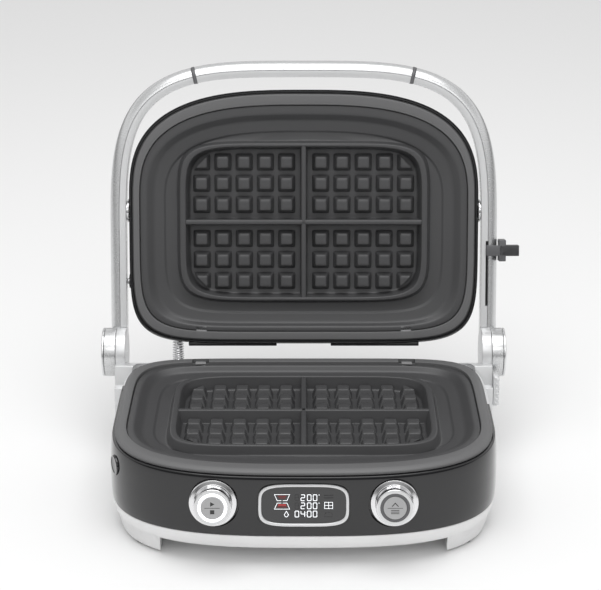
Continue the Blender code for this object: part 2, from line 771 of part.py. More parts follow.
def front_band():
    band = base_shell("front_band")
    cut(band, tool(parting("band_rear", GAP), base))
    within = [plan_loop(grow(RIM, b - GAP), -d) for d, b in zip(SHELL_DEPTHS, SHELL_BULGES)]
    depth = -SEAT_FLOOR
    for label, frame in knob_frames.items():
        cup = cylinder(f"{label}_cup", SKIRT_RADIUS + SEAT_GAP + SEAT_WALL, depth, OVERRUN)
        tool(cup, frame)
        keep(cup, tool(skin(f"{label}_envelope", within), base))
        hollow = cylinder(f"{label}_seat", SKIRT_RADIUS + SEAT_GAP, 0, OVERRUN)
        bore = cylinder(f"{label}_bore", SHAFT_RADIUS + RUN_GAP, 2 * depth, OVERRUN)
        join(band, cup)
        cut(band, tool(hollow, frame), tool(bore, frame))
    back = tool(prism("display_back", squircle(-SEAT_GAP - SEAT_WALL), depth, OVERRUN), display_frame)
    keep(back, tool(skin("display_envelope", within), base))
    join(band, back)
    cut(band, tool(prism("display_seat", squircle(-SEAT_GAP), 0, OVERRUN), display_frame))
    bore = cylinder(
        "release_bore", RELEASE_BUTTON_RADIUS + RUN_GAP, -RELEASE_BUTTON_INSIDE, OVERRUN, count=24
    )
    cut(band, tool(bore, button_frame))
    return seat(band, base, "black_gloss")


def rear_housing():
    housing = base_shell("rear_housing")
    keep(housing, tool(parting("housing_rear", 0), base))
    gland_hole = cylinder(
        "gland_hole", GLAND_RADIUS + GAP, -2 * OVERRUN, OVERRUN, "Y", (GLAND_X, 0, -GLAND_DEPTH), count=24
    )
    hose_hole = cylinder(
        "hose_hole", HOSE_RADIUS + GROMMET_WALL + GAP, -2 * OVERRUN, OVERRUN, "Y",
        (HOSE_X, 0, -HOSE_EXIT), count=24
    )
    cut(housing, tool(gland_hole, base), tool(hose_hole, base))
    return seat(housing, base, "silver")


def base_tray():
    outer = [plan_loop(grow(RIM, b), -d) for d, b in zip(TRAY_DEPTHS, TRAY_BULGES)]
    inner = [plan_loop(grow(RIM, b - WALL), -d) for d, b in zip(TRAY_DEPTHS[:-1], TRAY_BULGES)]
    inner[-1] = plan_loop(grow(RIM, TRAY_BULGES[-1] - WALL), -TRAY_DEPTHS[-1] + WALL)
    tray = skin("base_tray", inner[::-1] + outer)
    edge = grow(RIM, TRAY_BULGES[2])
    feet = skin(
        "feet",
        [
            plan_loop(edge, -TRAY_DEPTHS[2]),
            plan_loop(grow(edge, -FOOT_DRAFT), -FOOT_BOTTOM),
            plan_loop(grow(edge, -FOOT_WIDTH), -FOOT_BOTTOM),
            plan_loop(grow(edge, -FOOT_WIDTH), -TRAY_DEPTHS[2] - GAP),
        ],
        ring=True,
    )
    tool(feet, base)
    shape = bmesh.new()
    far = RIM[0] + OVERRUN
    spans = ((-RIM[1] + FOOT_REACH_FRONT, -RIM[1] - OVERRUN), (-RIM[2] - FOOT_REACH_REAR, OVERRUN))
    for near, end in spans:
        for _, mirror in SIDES:
            corner = bmesh.ops.create_cube(shape, size=1)["verts"]
            size = (far - FOOT_X, abs(end - near), HINGE_HEIGHT)
            bmesh.ops.scale(shape, vec=size, verts=corner)
            spot = (mirror * (far + FOOT_X) / 2, (near + end) / 2, -HINGE_HEIGHT)
            bmesh.ops.translate(shape, vec=spot, verts=corner)
    keep(feet, tool(from_bmesh("foot_corners", shape, smooth=False), base))
    join(tray, feet)
    floor = -TRAY_DEPTHS[-1] + WALL / 2
    top = -PAN_DEPTH - GAP
    for i, (x, y) in enumerate(((-1, -1), (1, -1), (-1, 1), (1, 1))):
        spot = (x * POST_X, y * POST_SPREAD - WELL_CENTRE, 0)
        join(tray, tool(cylinder(f"post_{i}", POST_RADIUS, floor, top, at=spot, count=12), base))
    board_top = -TRAY_DEPTHS[-1] + POWER_RAISE
    for i, (x, y) in enumerate(((-1, -1), (1, 1))):
        spot = (x * POWER_WIDTH / 3, y * POWER_LENGTH / 3 - POWER_FORWARD, 0)
        join(tray, tool(cylinder(f"stand_{i}", POST_RADIUS, floor, board_top, at=spot, count=12), base))
    for label, mirror in SIDES:
        spot = (mirror * (CONTROL_HALF - CONTROL_HEIGHT), -CONTROL_FORWARD - BOARD / 2, 0)
        rest = BOARD_TOP - CONTROL_HEIGHT - GAP
        join(tray, tool(cylinder(f"{label}_rest", POST_RADIUS, floor, rest, at=spot, count=12), base))
    return seat(tray, base, "silver")


def foot_pads():
    inset = grow(RIM, TRAY_BULGES[2] - PAD_INSET)
    half = (inset[0] + FOOT_X) / 2
    for end, roundness, reach in (
        ("front", FRONT_ROUNDNESS, inset[1] - PLAN_CENTRE),
        ("rear", REAR_ROUNDNESS, inset[2] - PLAN_CENTRE),
    ):
        along = reach * (1 - (half / inset[0]) ** roundness) ** (1 / roundness)
        for label, mirror in SIDES:
            pad = cylinder(
                f"foot_pad_{end}_{label}", PAD_RADIUS, -HINGE_HEIGHT, -FOOT_BOTTOM - GAP,
                at=(mirror * half, -PLAN_CENTRE - along, 0), count=16
            )
            seat(pad, base, "rubber")


def hinge_ear(label, mirror):
    """The bracket at a rear corner that carries the fixed half of the hub."""
    profile = (
        (EAR_REAR, -EAR_BACK_DROP),
        (-EAR_BACK, -EAR_TOP),
        (-EAR_FRONT, -EAR_TOP),
        (-EAR_SLANT, -EAR_LEDGE + CHAMFER),
        (-EAR_SLANT, -EAR_LEDGE),
        (-EAR_LEDGE_FRONT, -EAR_LEDGE),
        (-EAR_LEDGE_FRONT, EAR_CORNER / 2 - SHELL_BOTTOM),
        (EAR_CORNER / 2 - EAR_LEDGE_FRONT, -SHELL_BOTTOM),
        (EAR_REAR - 2 * EAR_CORNER, -SHELL_BOTTOM),
        (EAR_REAR - EAR_CORNER / 2, EAR_CORNER - SHELL_BOTTOM),
        (EAR_REAR, 2 * EAR_CORNER - SHELL_BOTTOM),
    )
    ear = prism(f"{label}_hinge_ear", profile, mirror * EAR_INNER, mirror * SPLIT, "X")
    disc = cylinder(
        f"{label}_ear_disc", DISC_RADIUS, mirror * DISC_INNER, mirror * SPLIT, "X", chamfer=CHAMFER, count=32
    )
    join(ear, tool(disc, base))
    room = [plan_loop(grow(RIM, EAR_GAP), OVERRUN)]
    room += [plan_loop(grow(RIM, b + EAR_GAP), -d) for d, b in zip(SHELL_DEPTHS, SHELL_BULGES)]
    room += [plan_loop(grow(RIM, SHELL_BULGES[-1] + EAR_GAP), -HINGE_HEIGHT)]
    cut(ear, tool(skin(f"{label}_ear_room", room), base))
    bore = cylinder(
        f"{label}_ear_bore", PIN_RADIUS + PIN_GAP, mirror * (DISC_INNER + PIN_START - GAP),
        mirror * (SPLIT + OVERRUN), "X", count=24
    )
    cut(ear, tool(bore, base))
    if mirror > 0:
        slot = box(
            "release_slot",
            (SPLIT - RELEASE_THICKNESS, -EAR_LEDGE_FRONT + RELEASE_THICKNESS / 2, -RELEASE_BOTTOM),
            (SPLIT + OVERRUN, -EAR_LEDGE_FRONT + 2 * RELEASE_THICKNESS, -EAR_LEDGE - RELEASE_THICKNESS / 2),
        )
        cut(ear, tool(slot, base))
    seat(ear, base, "silver")
    pin = cylinder(
        f"{label}_hinge_pin", PIN_RADIUS, mirror * (DISC_INNER + PIN_START),
        mirror * (HUB_OUTER - CAP_THICKNESS - 2 * GAP), "X", count=24
    )
    seat(pin, base, "bright")


def release_lever():
    """A ribbed thumb tab outside the right ear, lifted to free the hinge."""
    inner = SPLIT + GAP
    tab = box(
        "hinge_release_lever",
        (inner, -RELEASE_FRONT, -RELEASE_BOTTOM),
        (inner + RELEASE_THICKNESS, -RELEASE_REAR, -RELEASE_TOP),
        CHAMFER,
    )
    pitch = (RELEASE_BOTTOM - RELEASE_TOP) / RIB_COUNT
    for i in range(RIB_COUNT):
        height = -RELEASE_TOP - pitch * (i + 1 / 2)
        rib = box(
            f"rib_{i}",
            (inner + RELEASE_THICKNESS / 2, -RELEASE_FRONT - RIB_PROUD, height - RIB_WIDTH / 2),
            (inner + RELEASE_THICKNESS + RIB_PROUD, -RELEASE_REAR - RIB_PROUD, height + RIB_WIDTH / 2),
        )
        join(tab, tool(rib, base))
    peg = box(
        "release_peg",
        (inner - RELEASE_THICKNESS / 2, -EAR_LEDGE_FRONT + RELEASE_THICKNESS / 2 + GAP,
         -RELEASE_BOTTOM + GAP),
        (inner + RELEASE_THICKNESS / 2, -EAR_LEDGE_FRONT + 2 * RELEASE_THICKNESS - GAP,
         -EAR_LEDGE - RELEASE_THICKNESS / 2 - RELEASE_TRAVEL - GAP),
    )
    join(tab, tool(peg, base))
    seat(tab, base, "silver")


def knob(label, frame):
    """A turning knob round a fixed light ring, and a push button on the encoder's shaft."""
    bore = RING_OUTER + RUN_GAP
    body = turned(
        f"{label}_knob",
        (
            (bore, KNOB_HEIGHT),
            (BARREL_RADIUS - CHAMFER, KNOB_HEIGHT),
            (BARREL_RADIUS, KNOB_HEIGHT - CHAMFER),
            (BARREL_RADIUS, SKIRT_HEIGHT + CHAMFER),
            (SKIRT_RADIUS - CHAMFER, SKIRT_HEIGHT),
            (SKIRT_RADIUS, SKIRT_HEIGHT - CHAMFER),
            (SKIRT_RADIUS, GAP),
            (bore, GAP),
        ),
        24,
    )
    seat(body, frame, "brushed")
    ring = turned(
        f"{label}_light_ring",
        (
            (RING_INNER, KNOB_HEIGHT + BUTTON_PROUD / 2),
            (RING_OUTER, KNOB_HEIGHT + BUTTON_PROUD / 2),
            (RING_OUTER, GAP),
            (RING_INNER, GAP),
        ),
    )
    seat(ring, frame, "light")
    top = KNOB_HEIGHT + BUTTON_PROUD
    button = cylinder(
        f"{label}_button", RING_INNER - RUN_GAP, BUTTON_SEAT, top, chamfer=CHAMFER / 2
    )
    seat(button, frame, "silver")
    shaft_top = BUTTON_SEAT - BUTTON_TRAVEL - GAP
    under = -SEAT_FLOOR - GAP
    encoder = turned(
        f"{label}_encoder",
        (
            (0, shaft_top),
            (SHAFT_RADIUS, shaft_top),
            (SHAFT_RADIUS, under),
            (ENCODER_RADIUS, under),
            (ENCODER_RADIUS, under - ENCODER_LENGTH),
            (0, under - ENCODER_LENGTH),
        ),
        16,
    )
    seat(encoder, frame, "collar")


def display():
    rim = squircle(0)
    opening = squircle(DISPLAY_FRAME)
    bevel = squircle(CHAMFER)
    levels = ((rim, GAP), (rim, DISPLAY_HEIGHT - CHAMFER), (bevel, DISPLAY_HEIGHT), (opening, DISPLAY_HEIGHT))
    loops = [[Vector((x, y, z)) for x, y in outline] for outline, z in levels]
    loops.append([Vector((x, y, GAP)) for x, y in opening])
    seat(skin("display_bezel", loops, ring=True), display_frame, "brushed")
    glass = prism("display_window", squircle(DISPLAY_FRAME + GAP), GAP, GAP + WINDOW_HEIGHT)
    seat(glass, display_frame, "window")


def release_button():
    button = cylinder(
        "base_release_button", RELEASE_BUTTON_RADIUS, -RELEASE_BUTTON_INSIDE, RELEASE_BUTTON_PROUD,
        chamfer=CHAMFER, count=24
    )
    seat(button, button_frame, "black_gloss")


def boards():
    control = box(
        "control_board",
        (-CONTROL_HALF, -CONTROL_FORWARD - BOARD, BOARD_TOP - CONTROL_HEIGHT),
        (CONTROL_HALF, -CONTROL_FORWARD, BOARD_TOP),
    )
    seat(control, base, "board")
    level = -TRAY_DEPTHS[-1] + POWER_RAISE + GAP
    power = box(
        "power_board",
        (-POWER_WIDTH / 2, -POWER_FORWARD - POWER_LENGTH / 2, level),
        (POWER_WIDTH / 2, -POWER_FORWARD + POWER_LENGTH / 2, level + BOARD),
    )
    seat(power, base, "board")


def rear_wall(depth):
    """How far forward the outside of the rear wall lies at a depth."""
    spans = list(zip(SHELL_DEPTHS, SHELL_BULGES))
    for (top, near), (low, far) in zip(spans, spans[1:]):
        if top <= depth <= low:
            return RIM[2] - near - (far - near) * (depth - top) / (low - top)
    return RIM[2] - SHELL_BULGES[-1]


def gland():
    wall = -rear_wall(GLAND_DEPTH)
    body = cylinder(
        "cord_gland", GLAND_RADIUS, wall - 2 * WALL, wall + GLAND_PROUD, "Y",
        (GLAND_X, 0, -GLAND_DEPTH), CHAMFER, 24
    )
    bore = cylinder(
        "gland_bore", GLAND_RADIUS / 2, wall + GLAND_PROUD / 2, wall + OVERRUN, "Y",
        (GLAND_X, 0, -GLAND_DEPTH), count=16
    )
    cut(body, tool(bore, base))
    seat(body, base, "rubber")


def hose_route():
    """From the rear wall, back and round under the hinge axis, then up into the foot of the open lid."""
    wall = -rear_wall(HOSE_EXIT)
    lean = OPEN_ANGLE - math.pi / 2
    up = Vector((0, math.sin(lean), math.cos(lean)))
    back = Vector((0, math.cos(lean), -math.sin(lean)))
    top = up * (RIM[2] + HOSE_TOP) + back * HOSE_RISE
    start = Vector((0, wall - 2 * WALL, -HOSE_EXIT))
    handles = (start, start + Vector((0, 3 * HOSE_OUT, 0)), top - up * 3 * HOSE_OUT, top)
    count = 2 * HOSE_RIBS
    points = []
    for i in range(count + 1):
        t = i / count
        weights = ((1 - t) ** 3, 3 * t * (1 - t) ** 2, 3 * t * t * (1 - t), t ** 3)
        points.append(sum((h * w for h, w in zip(handles, weights)), Vector()))
    return points


def tube_mesh(name, points, radii, count=8):
    """Rings square to a route in the YZ plane, one radius each, capped at both ends."""
    loops = []
    for i, point in enumerate(points):
        ahead = points[min(i + 1, len(points) - 1)] - points[max(i - 1, 0)]
        side = Vector((0, -ahead.z, ahead.y)).normalized()
        loops.append([
            point + ACROSS * radii[i] * math.cos(a) + side * radii[i] * math.sin(a)
            for a in (2 * math.pi * k / count for k in range(count))
        ])
    return skin(name, loops)


def hose():
    """The ribbed metal conduit that carries the lid's wires, and its grommet in the rear wall."""
    points = hose_route()
    radii = [HOSE_RADIUS - (HOSE_RIB_DEPTH if i % 2 else 0) for i in range(len(points))]
    spot = (HOSE_X, 0, 0)
    conduit = tube_mesh("conduit", points, radii)
    start = 2 * points[0] - points[1]
    end = 2 * points[-1] - points[-2]
    core = [start, *points[2:-1:4], end]
    bore = tube_mesh("conduit_bore", core, [HOSE_BORE] * len(core), 8)
    bore.location = spot
    cut(conduit, tool(bore, base))
    seat(conduit, base, "bright", spot)
    wall = -rear_wall(HOSE_EXIT)
    inner, outer = HOSE_RADIUS + GAP, HOSE_RADIUS + GROMMET_WALL
    grommet = turned(
        "conduit_grommet",
        (
            (inner, GROMMET_PROUD),
            (outer + GROMMET_WALL / 2, GROMMET_PROUD),
            (outer + GROMMET_WALL / 2, GAP),
            (outer, GAP),
            (outer, -WALL - GAP),
            (inner, -WALL - GAP),
        ),
        20,
    )
    grommet.rotation_euler = (-math.pi / 2, 0, 0)
    seat(grommet, base, "rubber", (HOSE_X, wall, -HOSE_EXIT))


def handle_path():
    """Points along the outer edge of the handle, from the left hub round to the right, with the inward
    direction at each and the length walked."""
    dense = [Vector((-ARM_HALF, 0)), Vector((-ARM_HALF, ARM_CENTRE))]
    steps = 400
    for i in range(1, steps):
        across, along = superellipse(math.pi * (1 - i / steps), ARM_ROUNDNESS)
        dense.append(Vector((ARM_HALF * across, ARM_CENTRE + (ARM_FRONT - ARM_CENTRE) * along)))
    dense += [Vector((ARM_HALF, ARM_CENTRE)), Vector((ARM_HALF, 0))]
    lengths = [0]
    for a, b in zip(dense, dense[1:]):
        lengths.append(lengths[-1] + (b - a).length)
    return dense, lengths


PATH, WALKED = handle_path()


def on_path(length):
    """The place on the handle's outer edge after a walked length, and the direction inward from it."""
    length = min(max(length, 0), WALKED[-1])
    i = max(k for k in range(len(WALKED) - 1) if WALKED[k] <= length)
    share = (length - WALKED[i]) / (WALKED[i + 1] - WALKED[i])
    place = PATH[i].lerp(PATH[i + 1], share)
    before = PATH[max(i - 1, 0)]
    after = PATH[min(i + 2, len(PATH) - 1)]
    ahead = (after - before).normalized()
    return place, Vector((ahead.y, -ahead.x))


def bar_section(proud=0.0):
    """The handle's section as (inward, height) pairs: a rounded outer bulge and a rebate for the strip."""
    middle = ARM_FACE + ARM_THICKNESS / 2
    bulge = ARM_WIDTH - STRIP_WIDTH
    half = ARM_THICKNESS / 2 + proud
    points = []
    for i in range(BULGE_POINTS):
        angle = math.pi * (i / (BULGE_POINTS - 1) - 1 / 2)
        points.append((bulge * (1 - math.cos(angle)) - proud, middle + half * math.sin(angle)))
    rebate = ARM_FACE + STRIP_DEPTH
    back = ARM_FACE + ARM_THICKNESS
    edge = ARM_WIDTH + proud
    if proud:
        return points + [(edge, back - ARM_FACE), (edge, ARM_FACE - proud)]
    points += [(edge - ARM_FACE, back - ARM_FACE), (edge, back - STRIP_DEPTH), (edge, rebate)]
    return points + [(bulge, rebate)]


def strip_section():
    inner = ARM_WIDTH - STRIP_WIDTH + GAP
    top = ARM_FACE + STRIP_DEPTH - GAP
    low = top - STRIP_THICKNESS
    return [(inner, low), (ARM_WIDTH, low), (ARM_WIDTH, top), (inner, top)]


def sweep(name, section, lengths):
    loops = []
    for length in lengths:
        place, inward = on_path(length)
        spots = [(place + inward * u, height) for u, height in section]
        loops.append([Vector((spot.x, -spot.y, height)) for spot, height in spots])
    return skin(name, loops)


def walked_to(x):
    """The walked length at which the left half of the path reaches x."""
    i = next(k for k in range(len(PATH)) if PATH[k].x >= x)
    share = (x - PATH[i - 1].x) / (PATH[i].x - PATH[i - 1].x)
    return WALKED[i - 1] + (WALKED[i] - WALKED[i - 1]) * share


COLLAR_AT = walked_to(-COLLAR_X)


def spaced(start, end, count):
    return [start + (end - start) * i / (count - 1) for i in range(count)]


def mirrored(lengths, mirror):
    return lengths if mirror < 0 else [WALKED[-1] - length for length in lengths]


def pivot_bore(label, mirror):
    return tool(
        cylinder(
            f"{label}_pivot_bore", PIVOT_PIN_RADIUS + PIN_GAP, mirror * (DISC_INNER - OVERRUN),
            mirror * (ARM_HALF + OVERRUN), "X", PIVOT, count=20
        ),
        handle,
    )


def arm(label, mirror):
    """One arm of the handle with the turning half of its hub, and the strip let into it."""
    end = COLLAR_AT - COLLAR_WIDTH / 2 - GAP
    stations = [0, PATH[1].y / 2] + spaced(PATH[1].y, end, ARM_STATIONS)
    bar = sweep(f"{label}_arm", bar_section(), mirrored(stations, mirror))
    hub = cylinder(
        f"{label}_hub", DISC_RADIUS, mirror * (SPLIT + GAP),
        mirror * (HUB_OUTER - CAP_THICKNESS - GAP), "X", count=32
    )
    clear = cylinder(
        f"{label}_clear", DISC_RADIUS + GAP, mirror * (DISC_INNER - OVERRUN), mirror * (SPLIT + GAP), "X"
    )
    bore = cylinder(
        f"{label}_hub_bore", PIN_RADIUS + PIN_GAP, mirror * DISC_INNER, mirror * (HUB_OUTER + OVERRUN),
        "X", count=24
    )
    cut(bar, tool(clear, handle))
    join(bar, tool(hub, handle))
    cut(bar, tool(bore, handle), pivot_bore(label, mirror))
    start = DISC_RADIUS + CHAMFER
    strip = sweep(
        f"{label}_arm_strip", strip_section(),
        mirrored([start, PATH[1].y / 2] + spaced(PATH[1].y, end, ARM_STATIONS), mirror)
    )
    cut(strip, pivot_bore(f"{label}_strip", mirror))
    if mirror > 0:
        slot = box(
            "height_slot",
            (SLOT_X - SLOT_WIDTH / 2, -SLOT_TO, -OVERRUN),
            (SLOT_X + SLOT_WIDTH / 2, -SLOT_FROM, SLOT_DEPTH),
        )
        tool(slot, handle)
        cut(bar, slot)
        cut(strip, slot)
    seat(bar, handle, "silver")
    seat(strip, handle, "silver")
    cap = cylinder(
        f"{label}_hub_cap", DISC_RADIUS, mirror * (HUB_OUTER - CAP_THICKNESS), mirror * HUB_OUTER, "X",
        chamfer=CHAMFER, count=32
    )
    seat(cap, handle, "brushed")
    collar = sweep(
        f"{label}_collar", bar_section(COLLAR_PROUD),
        mirrored([COLLAR_AT - COLLAR_WIDTH / 2, COLLAR_AT + COLLAR_WIDTH / 2], mirror)
    )
    seat(collar, handle, "collar")


def grip():
    start = COLLAR_AT + COLLAR_WIDTH / 2 + GAP
    stations = spaced(start, WALKED[-1] - start, GRIP_STATIONS)
    seat(sweep("grip_bar", bar_section(), stations), handle, "silver")
    seat(sweep("grip_strip", strip_section(), stations), handle, "silver")


def height_lever():
    """The lever that holds the lid at a height: it slides along a slot in the right arm."""
    low, high = -LEVER_AT - LEVER_WIDTH / 2, -LEVER_AT + LEVER_WIDTH / 2
    face = ARM_FACE - GAP - CHAMFER
    lever = box("height_lever", (SLOT_X - SLOT_WIDTH / 2 + GAP, low, -LEVER_FRONT),
                (LEVER_TIP, high, face))
    foot = box(
        "lever_foot",
        (SLOT_X - SLOT_WIDTH / 2 + GAP, low, -LEVER_FRONT / 2),
        (SLOT_X + SLOT_WIDTH / 2 - GAP, high, SLOT_DEPTH - 2 * CHAMFER),
    )
    flange = box(
        "lever_flange",
        (LEVER_FLANGE_X, -LEVER_AT - LEVER_FLANGE_LENGTH / 2, -LEVER_FRONT),
        (LEVER_FLANGE_X + LEVER_FLANGE_WIDTH, -LEVER_AT + LEVER_FLANGE_LENGTH / 2, LEVER_BACK),
    )
    tip = box(
        "lever_tip",
        (LEVER_FLANGE_X + LEVER_FLANGE_WIDTH / 2, low, -LEVER_FRONT),
        (LEVER_TIP, high, LEVER_TIP_BACK),
    )
    join(lever, tool(foot, handle), tool(flange, handle), tool(tip, handle))
    seat(lever, handle, "collar")
    liner = box(
        "lever_slot_liner",
        (SLOT_X - SLOT_WIDTH / 2 + GAP, -SLOT_TO + GAP, SLOT_DEPTH - CHAMFER),
        (SLOT_X + SLOT_WIDTH / 2 - GAP, -SLOT_FROM - GAP, SLOT_DEPTH - GAP),
    )
    seat(liner, handle, "rubber")


# Inset and height of each line of the lid's crown, as shares of its height
CROWN_SHARES = ((0, 0.30), (0.03, 0.53), (0.15, 0.73), (0.38, 0.865), (0.82, 0.95), (1.5, 0.985), (2.1, 1))


def lid_cover():
    """The lid's domed shell: rim, side wall, shoulders and crown, open towards the plate."""
    side = grow(RIM, GAP)
    outside = [plan_loop(grow(RIM, -BEZEL_ROUND), 0), plan_loop(side, BEZEL_EDGE)]
    inside = [plan_loop(grow(side, -COVER_WALL), 0)]
    for i, (inset, height) in enumerate(CROWN_SHARES):
        drawn = inset * COVER_HEIGHT
        outside.append(plan_loop(grow(side, -drawn), height * COVER_HEIGHT))
        if i % 2 == 0:
            inside.append(plan_loop(grow(side, -drawn - COVER_WALL), height * COVER_HEIGHT - COVER_WALL))
    cover = skin("lid_cover", inside[::-1] + outside)
    for label, mirror in SIDES:
        near, far = (mirror * x for x in REAR_PAD_SPAN)
        pad = box(
            f"{label}_rear_pad",
            (min(near, far), -RIM[2] - COVER_WALL / 2, BEZEL_EDGE),
            (max(near, far), -RIM[2] + REAR_PAD_PROUD, BEZEL_EDGE + REAR_PAD_HEIGHT),
            CHAMFER,
        )
        join(cover, tool(pad, lid))
    half = HOSE_RADIUS + GAP + CHAMFER
    slot = box(
        "hose_slot",
        (HOSE_X - half, -RIM[2] - HOSE_TOP - COVER_WALL, HOSE_RISE - HOSE_SLOT),
        (HOSE_X + half, OVERRUN, HOSE_RISE + half + CHAMFER),
    )
    bore = cylinder(
        "lid_button_bore", LID_BUTTON_RADIUS + RUN_GAP, -RIM[0] - OVERRUN, -RIM[0] + OVERRUN, "X",
        (0, -LID_BUTTON_FORWARD, LID_BUTTON_RISE), count=24
    )
    cut(cover, tool(slot, lid), tool(bore, lid))
    seat(cover, lid, "black_gloss")
    button = cylinder(
        "lid_release_button", LID_BUTTON_RADIUS, -RIM[0] - RELEASE_BUTTON_PROUD,
        -RIM[0] + RELEASE_BUTTON_INSIDE, "X", (0, -LID_BUTTON_FORWARD, LID_BUTTON_RISE), CHAMFER, 24
    )
    seat(button, lid, "black_gloss")


def pivots():
    """The bosses that carry the lid, each a disc and pin in the arm, with a washer between."""
    for label, mirror in SIDES:
        start = RIM[0] + 2 * GAP
        end = start + BOSS_THICKNESS
        boss = cylinder(
            f"{label}_pivot_boss", PIVOT_RADIUS, mirror * start, mirror * end, "X", PIVOT, count=32
        )
        pin = cylinder(
            f"{label}_pivot_pin", PIVOT_PIN_RADIUS, mirror * start, mirror * (ARM_HALF - PIVOT_PIN_RADIUS),
            "X", PIVOT, count=20
        )
        join(boss, tool(pin, lid))
        seat(boss, lid, "bright")
        washer = cylinder(
            f"{label}_pivot_washer", PIVOT_RADIUS * 0.85, mirror * (end + GAP),
            mirror * (ARM_HALF - ARM_WIDTH - 2 * GAP), "X", PIVOT, count=28
        )
        bore = cylinder(
            f"{label}_washer_bore", PIVOT_PIN_RADIUS + PIN_GAP, mirror * RIM[0], mirror * ARM_HALF, "X",
            PIVOT, count=20
        )
        cut(washer, tool(bore, handle))
        seat(washer, handle, "bright")


def build():
    rear_housing()
    front_band()
    base_tray()
    foot_pads()
    for label, mirror in SIDES:
        hinge_ear(label, mirror)
        arm(label, mirror)
    for label, frame in knob_frames.items():
        knob(label, frame)
    release_lever()
    display()
    release_button()
    boards()
    gland()
    hose()
    grip()
    height_lever()
    lid_cover()
    pivots()
    hang = DECK_TOP + DECK_THICKNESS + GAP - RIM_DROP
    grill_plate("lower_plate", base, 1, RIM_DROP)
    bezel_ring("base_bezel", base, 1, RIM_DROP, RIM)
    reflector("lower_reflector", base, 1, RIM_DROP, hang)
    heater("lower_heater", base, 1, RIM_DROP)
    grill_plate("upper_plate", lid, -1, 0)
    bezel_ring("lid_bezel", lid, -1, 0, grow(RIM, -COVER_WALL))
    reflector("upper_reflector", lid, -1, 0, LIP_BOTTOM + GAP)
    heater("upper_heater", lid, -1, 0)


def centre_on_floor():
    """Moves the whole grill so that the middle of its box stands on the origin."""
    bpy.context.view_layer.update()
    graph = bpy.context.evaluated_depsgraph_get()
    low, high = Vector((math.inf,) * 3), Vector((-math.inf,) * 3)
    for part in parts.objects:
        if part.type == "EMPTY":
            continue
        solid = part.evaluated_get(graph)
        mesh = solid.to_mesh()
        for vertex in mesh.vertices:
            spot = solid.matrix_world @ vertex.co
            low = Vector(map(min, low, spot))
            high = Vector(map(max, high, spot))
        solid.to_mesh_clear()
    root.location -= Vector(((low.x + high.x) / 2, (low.y + high.y) / 2, low.z))


build()
centre_on_floor()
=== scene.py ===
import math

import bmesh
import bpy
from mathutils import Matrix, Vector


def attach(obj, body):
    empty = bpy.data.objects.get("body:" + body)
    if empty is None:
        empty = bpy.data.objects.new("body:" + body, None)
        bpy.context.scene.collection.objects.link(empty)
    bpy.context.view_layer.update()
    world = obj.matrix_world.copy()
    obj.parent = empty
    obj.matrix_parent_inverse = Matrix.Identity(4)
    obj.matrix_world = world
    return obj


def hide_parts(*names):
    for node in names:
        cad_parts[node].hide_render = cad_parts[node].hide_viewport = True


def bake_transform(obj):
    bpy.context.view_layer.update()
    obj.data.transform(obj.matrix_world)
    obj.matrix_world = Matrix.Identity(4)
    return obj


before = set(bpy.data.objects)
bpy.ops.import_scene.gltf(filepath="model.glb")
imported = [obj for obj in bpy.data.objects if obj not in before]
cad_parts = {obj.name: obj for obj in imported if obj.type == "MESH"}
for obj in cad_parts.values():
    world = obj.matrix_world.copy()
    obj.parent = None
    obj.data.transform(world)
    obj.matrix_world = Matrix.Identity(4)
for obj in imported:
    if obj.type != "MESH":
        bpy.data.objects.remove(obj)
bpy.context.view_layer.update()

# Sizes are millimetres in the closed pose, measured from the hinge axis: x right, forward, height.
# Pieces of the base sit at the axis; pieces of the handle and the lid are then turned open about it.
unit = 0.001
hinge = Vector((-6.6, 84.09, 92.0))
openAngle = math.radians(105)
baseSpace = Matrix.Translation(hinge)
openSpace = baseSpace @ Matrix.Rotation(-openAngle, 4, "X")
sides = (("left", -1), ("right", 1))

# Half width, front and rear of the rim, as distances forward from the axis
rim = (167.0, 251.0, 8.0)
planCentre = 143.0
frontRound = 2.9
rearRound = 6.8
wellRound = 6.5
planCount = 144


def stepIn(outline, step, share=1.0):
    half, front, rear = outline
    return (half - step[0] * share, front - step[1] * share, rear + step[2] * share)


def grow(outline, amount):
    return stepIn(outline, (-amount, -amount, -amount))


def superellipse(angle, roundness):
    power = 2 / roundness
    across = math.copysign(abs(math.cos(angle)) ** power, math.cos(angle))
    along = math.copysign(abs(math.sin(angle)) ** power, math.sin(angle))
    return across, along


def planLoop(outline, height, well=False, count=planCount):
    half, front, rear = outline
    centre = (front + rear) / 2 if well else planCentre
    points = []
    for i in range(count):
        angle = 2 * math.pi * i / count
        roundness = wellRound if well else (frontRound if math.sin(angle) > 0 else rearRound)
        across, along = superellipse(angle, roundness)
        reach = (front - centre) if along > 0 else (centre - rear)
        points.append(Vector((half * across, -(centre + reach * along), height)))
    return points


def circle(radius, height, count=96):
    turns = (2 * math.pi * i / count for i in range(count))
    return [Vector((radius * math.cos(a), radius * math.sin(a), height)) for a in turns]


# Rounds the line that runs through each loop. radius is one size, or one for each loop.
def fillet(loops, radius, ring=False, steps=4):
    radii = radius if isinstance(radius, (list, tuple)) else [radius] * len(loops)
    made = []
    last = len(loops) - 1
    for i, loop in enumerate(loops):
        if radii[i] <= 0 or (not ring and i in (0, last)):
            made.append(loop)
            continue
        before, after = loops[i - 1], loops[(i + 1) % len(loops)]
        for k in range(steps + 1):
            t = k / steps
            row = []
            for p, a, b in zip(loop, before, after):
                reachA = min(0.48, radii[i] / max((a - p).length, 0.001))
                reachB = min(0.48, radii[i] / max((b - p).length, 0.001))
                start, end = p.lerp(a, reachA), p.lerp(b, reachB)
                row.append(start.lerp(p, t).lerp(p.lerp(end, t), t))
            made.append(row)
    return made


